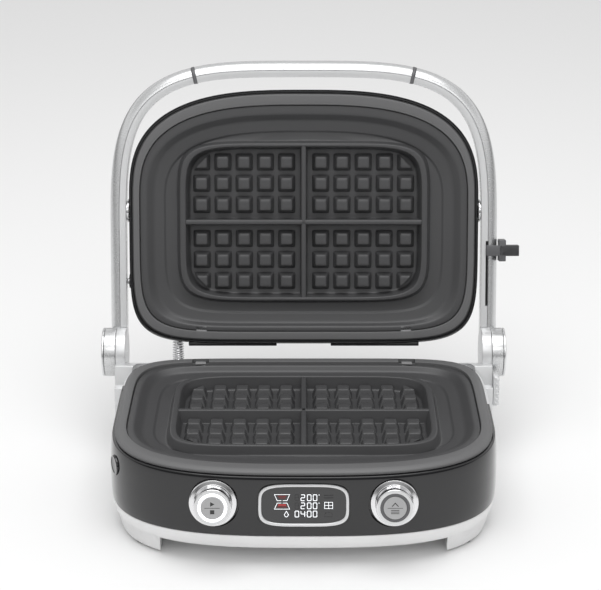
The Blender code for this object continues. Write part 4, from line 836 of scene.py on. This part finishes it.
def hingeEar(label, mirror):
    ends = (ear["neck"], ear["split"] - 0.05)
    loops = [[Vector((mirror * x, y, z)) for y, z in earProfile] for x in ends]
    body = loft(label + "Ear", loops, baseSpace)
    roundOff(body, 1.1, 4, angle=12)
    room = [planLoop(grow(rim, 0.4), 40.0)]
    room += [planLoop(grow(rim, b + 0.4), -d) for d, b in zip(shell["depths"], shell["bulges"])]
    room += [planLoop(grow(rim, shell["bulges"][-1] + 0.4), -100.0)]
    fuse(body, disc(label + "Disc", ear["radius"], ear["inner"], ear["split"], mirror, baseSpace, 0.8))
    carve(body, loft(label + "Room", room, baseSpace))
    bore = (ear["pin"] + 0.3, ear["inner"] + 1.7, 200.0)
    carve(body, disc(label + "Bore", *bore, mirror, baseSpace, 0.0, count=64))
    if mirror > 0:
        slot = boxes("releaseSlot", [((177.2, -40.6, -38.0), (190.0, -33.8, -21.9))], baseSpace)
        carve(body, slot)
    dress(body, "base", looks["silver"], label + "_hinge_ear", slot="silver_case")
    pin = disc(label + "Pin", ear["pin"], 172.0, 190.0, mirror, baseSpace, 0.5, count=64)
    dress(pin, "base", looks["chrome"], label + "_hinge_pin", slot="bright_steel")


# A small steel plug in the middle of the ear's inner face.
def dimple(label, mirror):
    plug = disc(label + "Dimple", 1.3, 169.8, 171.0, mirror, baseSpace, 0.2, count=32)
    dress(plug, "base", looks["chrome"], slot="bright_steel")


baseTray()
footPads()
for label, mirror in sides:
    hingeEar(label, mirror)
    dimple(label, mirror)


# Hinge release lever: a ribbed thumb tab outside the right ear
lever = {
    "inner": 179.7, "outer": 184.3, "front": -42.0, "rear": -28.0, "low": -38.0, "high": -8.0, "ribs": 6,
}


def releaseLever():
    body = boxes("releaseLever", [
        ((lever["inner"], lever["front"], lever["low"]), (lever["outer"], lever["rear"], lever["high"])),
        ((lever["inner"] - 2.0, -40.2, -37.6), (lever["inner"] + 2.0, -34.1, -27.6)),
    ], baseSpace, 0.9, 4)
    dress(body, "release_lever", looks["silver"], "hinge_release_lever", slot="silver_case")
    pitch = (lever["high"] - lever["low"]) / lever["ribs"]
    rib = bmesh.new()
    boxInto(rib, (-2.2, -8.0, -1.1), (1.6, 8.0, 1.1))
    places = [
        ((lever["inner"] + lever["outer"]) / 2 + 1.7, (lever["front"] + lever["rear"]) / 2,
         lever["high"] - pitch * (i + 0.5), 0.0) for i in range(lever["ribs"])
    ]
    ribs = roundOff(scatter("leverRibs", rib, places, looks["silver"], baseSpace), 0.5, 3)
    dress(ribs, "release_lever", looks["silver"], slot="silver_case")


releaseLever()


# Handle: a bar swept along its outer edge, with a flat strip let into its inner side
stage("handle")
handle = {
    "half": 186.0, "centre": 100.0, "front": 278.7, "round": 3.7, "width": 15.6, "strip": 6.6, "face": 1.0,
    "thick": 20.0, "stripDepth": 3.0, "stripThick": 2.1, "collarX": 106.0, "collar": 3.2, "proud": 0.4,
    "hub": 23.3, "cap": 2.4, "hubOuter": 193.0, "gap": 0.3,
}
handlePath = [Vector((-handle["half"], 0)), Vector((-handle["half"], handle["centre"]))]
for i in range(1, 600):
    across, along = superellipse(math.pi * (1 - i / 600), handle["round"])
    reach = handle["front"] - handle["centre"]
    handlePath.append(Vector((handle["half"] * across, handle["centre"] + reach * along)))
handlePath += [Vector((handle["half"], handle["centre"])), Vector((handle["half"], 0))]
walked = [0.0]
for before, after in zip(handlePath, handlePath[1:]):
    walked.append(walked[-1] + (after - before).length)


def onPath(length):
    length = min(max(length, 0.0), walked[-1])
    i = max(k for k in range(len(walked) - 1) if walked[k] <= length)
    place = handlePath[i].lerp(handlePath[i + 1], (length - walked[i]) / (walked[i + 1] - walked[i]))
    ahead = (handlePath[min(i + 2, len(handlePath) - 1)] - handlePath[max(i - 1, 0)]).normalized()
    return place, Vector((ahead.y, -ahead.x))


# The bar's section as inward and height pairs, with softened corners.
def barSection(proud=0.0):
    middle = handle["face"] + handle["thick"] / 2
    bulge = handle["width"] - handle["strip"]
    half = handle["thick"] / 2 + proud
    points = []
    for i in range(25):
        angle = math.pi * (i / 24 - 0.5)
        points.append((bulge * (1 - math.cos(angle)) - proud, middle + half * math.sin(angle)))
    back = handle["face"] + handle["thick"]
    edge = handle["width"] + proud
    if proud:
        return points + [(edge - 0.4, back + proud), (edge, back), (edge, handle["face"] - proud)]
    rebate = handle["face"] + handle["stripDepth"]
    points += [(edge - 1.6, back - 0.25), (edge - 0.5, back - 0.9), (edge, back - 2.2)]
    return points + [(edge, rebate + 0.3), (edge - 0.3, rebate), (bulge + 0.1, rebate), (bulge, rebate)]


def stripSection():
    inner = handle["width"] - handle["strip"] + handle["gap"]
    top = handle["face"] + handle["stripDepth"] - handle["gap"]
    low = top - handle["stripThick"]
    width = handle["width"]
    return [(inner, low + 0.25), (inner + 0.25, low), (width - 0.35, low), (width - 0.1, low + 0.1),
            (width, low + 0.35), (width, top), (inner, top)]


def sweep(name, section, lengths, space, sharp=35):
    loops = []
    for length in lengths:
        place, inward = onPath(length)
        spots = [(place + inward * u, height) for u, height in section]
        loops.append([Vector((spot.x, -spot.y, height)) for spot, height in spots])
    return loft(name, loops, space, sharp=sharp)


def spaced(start, end, count):
    return [start + (end - start) * i / (count - 1) for i in range(count)]


def walkedTo(x):
    i = next(k for k in range(len(handlePath)) if handlePath[k].x >= x)
    share = (x - handlePath[i - 1].x) / (handlePath[i].x - handlePath[i - 1].x)
    return walked[i - 1] + (walked[i] - walked[i - 1]) * share


collarAt = walkedTo(-handle["collarX"])
armEnd = collarAt - handle["collar"] / 2 - handle["gap"]
pivot = {"forward": 135.5, "rise": 11.0, "pin": 4.5, "boss": 11.2}
pivotSpace = openSpace @ Matrix.Translation((0, -pivot["forward"], pivot["rise"]))
slot = {"x": 176.0, "width": 2.8, "from": 44.0, "to": 107.0, "depth": 6.2}
slotSpan = ((slot["x"] - 1.4, -slot["to"], -20.0), (slot["x"] + 1.4, -slot["from"], slot["depth"]))


def armPieces(label, mirror):
    def along(lengths):
        return lengths if mirror < 0 else [walked[-1] - length for length in lengths]

    gap = handle["gap"]
    stations = [0.0, 50.0] + spaced(handle["centre"], armEnd, 60)
    arm = sweep(label + "Arm", barSection(), stations, openSpace)
    carve(arm, disc(label + "Clear", handle["hub"] + gap, 150.0, ear["split"] + gap, -1, openSpace, 0.0))
    inner, outer = ear["split"] + gap, handle["hubOuter"] - handle["cap"] - gap
    fuse(arm, disc(label + "Hub", handle["hub"], inner, outer, -1, openSpace, 0.35))
    hubBore, pivotBore = (ear["pin"] + 0.3, 170.0, 200.0), (pivot["pin"] + 0.3, 150.0, 200.0)
    carve(arm, disc(label + "HubBore", *hubBore, -1, openSpace, 0.0, count=64))
    carve(arm, disc(label + "PivotBore", *pivotBore, -1, pivotSpace, 0.0, count=64))
    lengths = [handle["hub"] + 0.8, 50.0] + spaced(handle["centre"], armEnd, 60)
    strip = sweep(label + "ArmStrip", stripSection(), lengths, openSpace)
    carve(strip, disc(label + "StripBore", *pivotBore, -1, pivotSpace, 0.0, count=64))
    if mirror > 0:
        turnOver = Matrix.Translation((2 * hinge.x * unit, 0, 0)) @ Matrix.Scale(-1, 4, (1, 0, 0))
        for thing in (arm, strip):
            thing.data.transform(turnOver)
            thing.data.flip_normals()
            carve(thing, boxes(label + "Slot", [slotSpan], openSpace))
    dress(arm, "handle", looks["handle"], label + "_arm", slot="handle_silver")
    dress(strip, "handle", looks["strip"], label + "_arm_strip", slot="handle_silver")
    low, high = handle["hubOuter"] - handle["cap"], handle["hubOuter"]
    cap = disc(label + "HubCap", handle["hub"], low, high, mirror, openSpace, 1.0)
    fuse(cap, disc(label + "CapRing", 16.0, high - 1.0, high + 0.25, mirror, openSpace, 0.2, hollow=15.4))
    dress(cap, "handle", looks["brushed"], label + "_hub_cap", slot="brushed")
    half = handle["collar"] / 2
    ends = (collarAt - half, collarAt - half + 0.4, collarAt, collarAt + half - 0.4, collarAt + half)
    loops = []
    for length, proud in zip(along(ends), (0.05, 0.4, 0.4, 0.4, 0.05)):
        place, inward = onPath(length)
        spots = [(place + inward * u, height) for u, height in barSection(proud)]
        loops.append([Vector((spot.x, -spot.y, height)) for spot, height in spots])
    collar = loft(label + "Collar", loops, openSpace, sharp=50)
    dress(collar, "handle", looks["collar"], label + "_collar", slot="collar_grey")


for label, mirror in sides:
    armPieces(label, mirror)
gripStart = collarAt + handle["collar"] / 2 + handle["gap"]
gripStations = spaced(gripStart, walked[-1] - gripStart, 60)
dress(sweep("gripBar", barSection(), gripStations, openSpace), "handle", looks["handle"], "grip_bar",
      slot="handle_silver")
dress(sweep("gripStrip", stripSection(), gripStations, openSpace), "handle", looks["strip"], "grip_strip",
      slot="handle_silver")


# Height lever, a slot liner of near-black painted shade, and pivots
stage("levers, pivots and lid")
low, high = -98.0 - 5.1, -98.0 + 5.1
body = boxes("heightLever", [
    ((174.9, low, -2.6), (206.2, high, 0.0)), ((174.9, low, -1.3), (177.1, high, 4.6)),
    ((186.9, -108.3, -2.6), (193.6, -87.7, 13.0)), ((190.3, low, -2.6), (206.2, high, 8.0)),
], openSpace, 0.7, 3)
dress(body, "height_lock", looks["collar"], "height_lever", slot="collar_grey")
# A thin sheet at the floor of the lever slot, coloured near black as painted shade for the inside of the
# slot.
dress(boxes("slotLiner", [((174.9, -106.7, 5.4), (177.1, -44.3, 5.9))], openSpace), "handle",
      looks["hollow"], "lever_slot_liner", slot="rubber")
for label, mirror in sides:
    boss = disc(label + "Boss", pivot["boss"], 167.6, 168.8, mirror, pivotSpace, 0.4)
    fuse(boss, disc(label + "PivotPin", pivot["pin"], 167.6, 181.5, mirror, pivotSpace, 0.3, count=64))
    dress(boss, "lid", looks["chrome"], label + "_pivot_boss", slot="bright_steel")
    washer = disc(label + "Washer", 9.5, 169.1, 169.8, mirror, pivotSpace, 0.2, hollow=4.8)
    dress(washer, "handle", looks["chrome"], label + "_pivot_washer", slot="bright_steel")

# Lid cover: rim, side wall, shoulders and crown
crownShares = ((0, 0.30), (0.03, 0.53), (0.15, 0.73), (0.38, 0.865), (0.82, 0.95), (1.5, 0.985), (2.1, 1))
crownHeight = 46.0
lidButton = {"radius": 7.0, "forward": 67.0, "rise": 16.5, "pin": 2.9}
lidButtonSpace = openSpace @ Matrix.Translation((0, -lidButton["forward"], lidButton["rise"]))


def lidCover():
    side = grow(rim, 0.3)
    outside = [planLoop(grow(rim, -1.2), 0), planLoop(side, 2.4)]
    inside = [planLoop(grow(side, -2.5), 0)]
    for i, (inset, height) in enumerate(crownShares):
        outside.append(planLoop(grow(side, -inset * crownHeight), height * crownHeight))
        if i % 2 == 0:
            edge = grow(side, -inset * crownHeight - 2.5)
            inside.append(planLoop(edge, height * crownHeight - 2.5))
    loops = inside[::-1] + outside
    first = len(inside)
    radii = [0] * len(loops)
    radii[first + 1] = 0.9
    for i in range(first + 3, len(loops) - 1):
        radii[i] = 20.0
    cover = loft("lidCover", fillet(loops, radii, steps=5), openSpace, sharp=50)
    for _, mirror in sides:
        near, far = sorted((mirror * 26.0, mirror * 111.0))
        fuse(cover, boxes("rearPad", [((near, -9.2, 2.4), (far, -5.4, 8.4))], openSpace, 0.8))
    slotBox = boxes("hoseSlot", [((-129.7, -20.5, 14.0), (-115.9, 20.0, 34.7))], openSpace)
    bore = disc("lidBore", lidButton["radius"] + 0.3, 147.0, 190.0, -1, lidButtonSpace, 0.0, count=64)
    carve(cover, slotBox, bore)
    dress(cover, "lid", looks["gloss"], "lid_cover", slot="black_gloss")
    button = disc("lidButton", lidButton["radius"], 161.0, 168.6, -1, lidButtonSpace, 0.7, count=96)
    dress(button, "lid_release", looks["gloss"], "lid_release_button", slot="black_gloss")


lidCover()
button = loft("baseButton", fillet(turnedLoops(
    [(0.05, -6.0), (8.7, -6.0), (8.7, 1.6), (7.4, 1.6), (6.6, 1.1), (0.05, 1.0)]
), [0, 0.5, 0.7, 0.4, 0.4, 0]), buttonSpace)
dress(button, "base_release", looks["gloss"], "base_release_button", slot="black_gloss")

# Knobs and display
stage("knobs and display")


def glow(name, colour, strength):
    material = newMaterial(name, colour, 0.4)
    shader = material.node_tree.nodes["Principled BSDF"]
    shader.inputs["Emission Color"].default_value = (*colour, 1)
    shader.inputs["Emission Strength"].default_value = strength
    return material


lit = glow("litSegment", (0.85, 0.87, 0.90), 0.8)
ringLit = glow("litRing", (0.95, 0.96, 1.0), 1.0)
ghost = newMaterial("dimSegment", (0.028, 0.028, 0.030), 0.5)
redLit = glow("redSegment", (0.55, 0.02, 0.02), 0.6)
redDim = glow("dimRedSegment", (0.16, 0.012, 0.012), 0.3)
ink = newMaterial("printedInk", (0.035, 0.035, 0.035), 0.6)
buttonFace = newMaterial("buttonFace", (0.44, 0.44, 0.445), 0.42, 0.4, scale=1500.0, height=0.05)
ringDark = newMaterial("darkRing", (0.12, 0.12, 0.125), 0.35, 0.1)
windowGlass = newMaterial(
    "displayGlass", (0.004, 0.004, 0.005), 0.04, 0.0, vary=0.01, coat=1.0, height=0.01
)


def flats(name, outlines, low, high, space, body, material, slot=None):
    shape = bmesh.new()
    for outline in outlines:
        loftInto(shape, [[Vector((x, y, z)) for x, y in outline] for z in (low, high)])
    return dress(toObject(name, shape, space), body, material, slot=slot)


def stroke(x0, y0, x1, y1, width=0.7):
    along = Vector((x1 - x0, y1 - y0)).normalized() * width / 2
    side = Vector((-along.y, along.x))
    a, b = Vector((x0, y0)) - along, Vector((x1, y1)) + along
    return [tuple(p) for p in (a - side, b - side, b + side, a + side)]


bore, under, pushTop = knobSize["bore"], knobSize["under"], knobSize["height"] + knobSize["proud"]
for label, mirror in sides:
    space = knobSpaces[label]
    skirt, barrel, top = knobSize["skirt"], knobSize["barrel"], knobSize["height"] - 0.15
    rise = knobSize["skirtHeight"]
    ring = [(bore, under), (skirt, under), (skirt, rise), (barrel, rise + 0.3), (barrel, top), (bore, top)]
    loops = fillet(turnedLoops(ring, 128), [0, 0.3, 1.1, 0.8, 0.9, 0], ring=True)
    knob = loft(label + "Knob", loops, space, ring=True, sharp=60)
    dress(knob, label + "_dial", looks["chrome"], label + "_knob", slot="brushed")
    face = [(12.6, 16.8), (15.0, 16.8), (15.0, 17.02), (12.6, 17.02)]
    dress(loft(label + "Face", turnedLoops(face, 128), space, ring=True), label + "_dial", looks["strip"])
    outer, inner, top = knobSize["ringOuter"], knobSize["ringInner"], knobSize["height"] + 0.3
    loops = turnedLoops([(inner, under), (outer, under), (outer, top), (inner, top)], 128)
    light = loft(label + "Light", fillet(loops, [0, 0, 0.3, 0.3], ring=True), space, ring=True)
    dress(light, "base", ringLit if mirror < 0 else ringDark, label + "_light_ring", slot="light")
    seat, radius = knobSize["seat"], knobSize["button"]
    loops = turnedLoops([(0.05, seat), (radius, seat), (radius, pushTop), (0.05, pushTop)], 128)
    push = loft(label + "Button", fillet(loops, [0, 0.2, 0.4, 0]), space)
    dress(push, label + "_push", buttonFace, label + "_button", slot="silver_case")
marks = [[(-1.6, 1.4), (2.0, 3.4), (-1.6, 5.4)], [(-1.8, -5.2), (1.8, -5.2), (1.8, -1.7), (-1.8, -1.7)],
         stroke(-6.2, 0, 6.2, 0, 0.45)]
flats("leftMarks", marks, pushTop, pushTop + 0.04, knobSpaces["left"], "left_push", ink)
marks = [stroke(-2.4, 1.8, 0, 4.4, 0.8), stroke(0, 4.4, 2.4, 1.8, 0.8), stroke(-6.2, 0, 6.2, 0, 0.45)]
marks += [stroke(-3.2, y, 3.2, y, 0.6) for y in (-1.9, -3.3, -4.7)]
flats("rightMarks", marks, pushTop, pushTop + 0.04, knobSpaces["right"], "right_push", ink)

frameWidth, frameTop = display["frame"], display["height"]
levels = ((0, 0.3), (0, frameTop), (frameWidth, frameTop), (frameWidth, 0.3))
glassTop = 0.3 + display["glass"]
frameLoops = fillet([squircle(i, z, 160) for i, z in levels], [0.2, 1.0, 0.9, 0.2], ring=True)
dress(loft("displayFrame", frameLoops, displaySpace, ring=True, sharp=60), "base", looks["strip"],
      "display_bezel", slot="brushed")
panes = [squircle(frameWidth + 0.3, z, 160) for z in (0.3, glassTop)]
dress(loft("displayWindow", panes, displaySpace), "base", windowGlass, "display_window", slot="window")
digits = {"0": "abcdef", "2": "abged", "4": "fgbc", "8": "abcdefg", "1": "bc", "5": "afgcd"}
segments = {"a": (0, 2, 1, 2), "b": (1, 1, 1, 2), "c": (1, 0, 1, 1), "d": (0, 0, 1, 0), "e": (0, 0, 0, 1),
            "f": (0, 1, 0, 2), "g": (0, 1, 1, 1)}
on, off = [], []
for row, (text, y) in enumerate((("8200", 3.9), ("8200", -3.2), ("0400", -10.4))):
    for sign, x in zip(text, (-7.3, -2.3, 3.1, 8.0)):
        for key, (x0, y0, x1, y1) in segments.items():
            inset = 0.42
            dx, dy = (0, inset) if x0 == x1 else (inset, 0)
            line = stroke(x + x0 * 3.1 + dx, y + y0 * 2.6 + dy, x + x1 * 3.1 - dx, y + y1 * 2.6 - dy, 0.55)
            blank = row < 2 and sign == "8"
            (on if key in digits[sign] and not blank else off).append(line)
    if row < 2:
        on.append(stroke(12.7, y + 5.0, 13.2, y + 5.0, 0.5))
on += [stroke(1.9, y, 1.9, y + 0.1, 0.5) for y in (-8.6, -6.8)]
for turn in (1, -1):
    middle = 2.9
    points = ((-24.6, 9.3), (-11.9, 9.3), (-14.0, 4.0), (-17.4, 4.0))
    points = [(x, middle + turn * (y - middle)) for x, y in points]
    wide, far, near, inner = points
    on += [stroke(*wide, *far, 0.4), stroke(*far, *near, 0.4), stroke(*near, *inner, 0.4)]
    on += [stroke(*wide, -22.4, near[1], 0.4), stroke(-22.4, near[1], -19.1, near[1], 0.4)]
drop = [(-14.6, -5.4), (-16.4, -8.4), (-15.6, -10.0), (-14.6, -10.4), (-13.6, -10.0), (-12.8, -8.4)]
drop.append(drop[0])
on += [stroke(*a, *b, 0.45) for a, b in zip(drop, drop[1:])]
grid = [(17.6, 2.5, 24.4, 2.5), (24.4, 2.5, 24.4, -3.0), (24.4, -3.0, 17.6, -3.0), (17.6, -3.0, 17.6, 2.5),
        (21.0, 2.5, 21.0, -3.0), (17.6, -0.25, 24.4, -0.25)]
on += [stroke(*line, 0.4) for line in grid]
off += [stroke(17.4, y, 24.6, y, 0.9) for y in (8.6, 6.4)]
dome = [(17.6, -8.6), (18.6, -6.9), (21.0, -6.2), (23.4, -6.9), (24.4, -8.6)]
off += [stroke(*a, *b, 0.45) for a, b in zip(dome, dome[1:])] + [stroke(17.6, -10.2, 24.4, -10.2, 0.45)]
flats("litSegments", on, glassTop, glassTop + 0.04, displaySpace, "base", lit)
flats("dimSegments", off, glassTop, glassTop + 0.03, displaySpace, "base", ghost)
redBar = [stroke(-21.2, 0.15, -15.2, 0.15, 0.7)]
flats("redBar", redBar, glassTop, glassTop + 0.03, displaySpace, "base", redLit)
bars = [stroke(-21.4, 7.8, -15.0, 7.8, 0.8), stroke(-20.6, 6.3, -15.8, 6.3, 0.7),
        stroke(-22.0, -1.4, -14.4, -1.4, 0.8)]
flats("dimRedBars", bars, glassTop, glassTop + 0.03, displaySpace, "base", redDim)


# Conduit: a spiral metal hose, bent along a curve from the base up to the open lid
stage("conduit and inner pieces")


hose = {
    "x": -122.8, "exit": 46.0, "top": 18.0, "rise": 27.0, "pull": 42.0, "radius": 5.45, "wave": 0.35,
    "pitch": 4.5, "rings": 180,
}


def hosePoints(count):
    wall = 0.0
    out = hose["exit"]
    spans = list(zip(shell["depths"], shell["bulges"]))
    for (top, near), (low, far) in zip(spans, spans[1:]):
        if top <= out <= low:
            wall = -(rim[2] - near - (far - near) * (out - top) / (low - top))
    lean = openAngle - math.pi / 2
    up = Vector((0, math.sin(lean), math.cos(lean)))
    back = Vector((0, math.cos(lean), -math.sin(lean)))
    top = up * hose["top"] + back * hose["rise"]
    start = Vector((0, wall - 5.0, -out))
    guide = (start, start + Vector((0, hose["pull"], 0)), top - up * hose["pull"], top)
    points = []
    for i in range(count + 1):
        t = i / count
        weights = ((1 - t) ** 3, 3 * t * (1 - t) ** 2, 3 * t * t * (1 - t), t ** 3)
        points.append(sum((h * w for h, w in zip(guide, weights)), Vector()))
    return points


hoseLine = hosePoints(hose["rings"])
across = Vector((1, 0, 0))
hoseShift = Vector((hose["x"], 0, 0))
loops = []
for i, point in enumerate(hoseLine):
    ahead = hoseLine[min(i + 1, hose["rings"])] - hoseLine[max(i - 1, 0)]
    side = Vector((0, -ahead.z, ahead.y)).normalized()
    ring = []
    for k in range(48):
        angle = 2 * math.pi * k / 48
        radius = hose["radius"] + hose["wave"] * math.sin(2 * math.pi * i / hose["pitch"] + angle)
        out = across * radius * math.cos(angle) + side * radius * math.sin(angle)
        ring.append(point + out + hoseShift)
    loops.append(ring)
conduit = loft("conduitHose", loops, baseSpace, sharp=70)
conduit.data.materials.append(looks["chrome"])
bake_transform(conduit)
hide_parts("conduit")
plain = {
    "conduit_grommet": "rubber", "cord_gland": "rubber", "control_board": "board", "power_board": "board",
    "left_encoder": "collar", "right_encoder": "collar", "lower_reflector": "sheet",
    "upper_reflector": "sheet", "lower_heater": "element", "upper_heater": "element",
}
for name, look in plain.items():
    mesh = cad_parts[name].data
    mesh.materials.clear()
    mesh.materials.append(looks[look])
pin = disc("lidPin", lidButton["pin"], 168.3, 170.2, -1, lidButtonSpace, 0.4, count=64)
dress(pin, "lid_release", looks["chrome"], slot="bright_steel")


# Floor, light and camera
view = {"focal": 1850.0, "width": 601, "height": 590, "pitch": 21.3, "centre": 303.7}
camera = {"back": 1642.0, "up": 699.0}
lens = bpy.data.cameras.new("photoCamera")
lens.lens = lens.sensor_width * view["focal"] / view["width"]
lens.shift_x = (view["width"] / 2 - view["centre"]) / view["width"]
lens.clip_end = 50.0
eye = bpy.data.objects.new("photoCamera", lens)
eye.location = (hinge + Vector((0.0, -camera["back"], camera["up"]))) * unit
eye.rotation_euler = (math.radians(90 - view["pitch"]), 0.0, 0.0)
bpy.context.scene.collection.objects.link(eye)
bpy.context.scene.camera = eye

paleFloor = bpy.data.materials.new("paleFloor")
paleFloor.use_nodes = True
floorNodes = paleFloor.node_tree.nodes
floorShader = floorNodes["Principled BSDF"]
floorShader.inputs["Base Color"].default_value = (0.86, 0.86, 0.86, 1)
floorShader.inputs["Roughness"].default_value = 0.9
shape = bmesh.new()
bmesh.ops.create_grid(shape, x_segments=1, y_segments=1, size=6.0)
ground = toObject("floor", shape, None)
ground.data.materials.append(paleFloor)

world = bpy.data.worlds.new("studio")
bpy.context.scene.world = world
world.use_nodes = True
world.node_tree.nodes["Background"].inputs["Color"].default_value = (1, 1, 1, 1)
world.node_tree.nodes["Background"].inputs["Strength"].default_value = 1.0
worldNodes, worldLinks = world.node_tree.nodes, world.node_tree.links
rays = worldNodes.new("ShaderNodeLightPath")
place = worldNodes.new("ShaderNodeTexCoord")
parts = worldNodes.new("ShaderNodeSeparateXYZ")
sky = worldNodes.new("ShaderNodeValToRGB")
sky.color_ramp.elements[0].position = 0.0
sky.color_ramp.elements[0].color = (0.30, 0.30, 0.30, 1)
sky.color_ramp.elements[1].position = 1.0
sky.color_ramp.elements[1].color = (0.95, 0.95, 0.95, 1)
for spot, level in ((0.36, 0.45), (0.47, 0.16), (0.53, 0.14), (0.60, 0.55), (0.68, 1.0), (0.80, 0.55)):
    sky.color_ramp.elements.new(spot).color = (level, level, level, 1)
half = worldNodes.new("ShaderNodeMath")
half.operation = "MULTIPLY_ADD"
half.inputs[1].default_value = 0.5
half.inputs[2].default_value = 0.5
white = worldNodes.new("ShaderNodeMix")
white.data_type = "RGBA"
white.inputs["B"].default_value = (1, 1, 1, 1)
worldLinks.new(place.outputs["Generated"], parts.inputs[0])
worldLinks.new(parts.outputs["Z"], half.inputs[0])
worldLinks.new(half.outputs[0], sky.inputs["Fac"])
worldLinks.new(sky.outputs["Color"], white.inputs["A"])
worldLinks.new(rays.outputs["Is Camera Ray"], white.inputs["Factor"])
worldLinks.new(white.outputs["Result"], worldNodes["Background"].inputs["Color"])


def softBox(name, place, aim, size, power):
    lamp = bpy.data.lights.new(name, "AREA")
    lamp.shape = "RECTANGLE"
    lamp.size, lamp.size_y = size
    lamp.energy = power
    thing = bpy.data.objects.new(name, lamp)
    thing.location = place
    thing.rotation_euler = (Vector(aim) - Vector(place)).to_track_quat("-Z", "Y").to_euler()
    bpy.context.scene.collection.objects.link(thing)


softBox("topBox", (0.0, -0.3, 1.9), (0.0, 0.0, 0.1), (1.6, 1.4), 18.0)
softBox("frontBox", (0.0, -1.9, 1.7), (0.0, 0.0, 0.15), (1.6, 0.6), 6.0)

bpy.context.scene.view_settings.view_transform = "Standard"
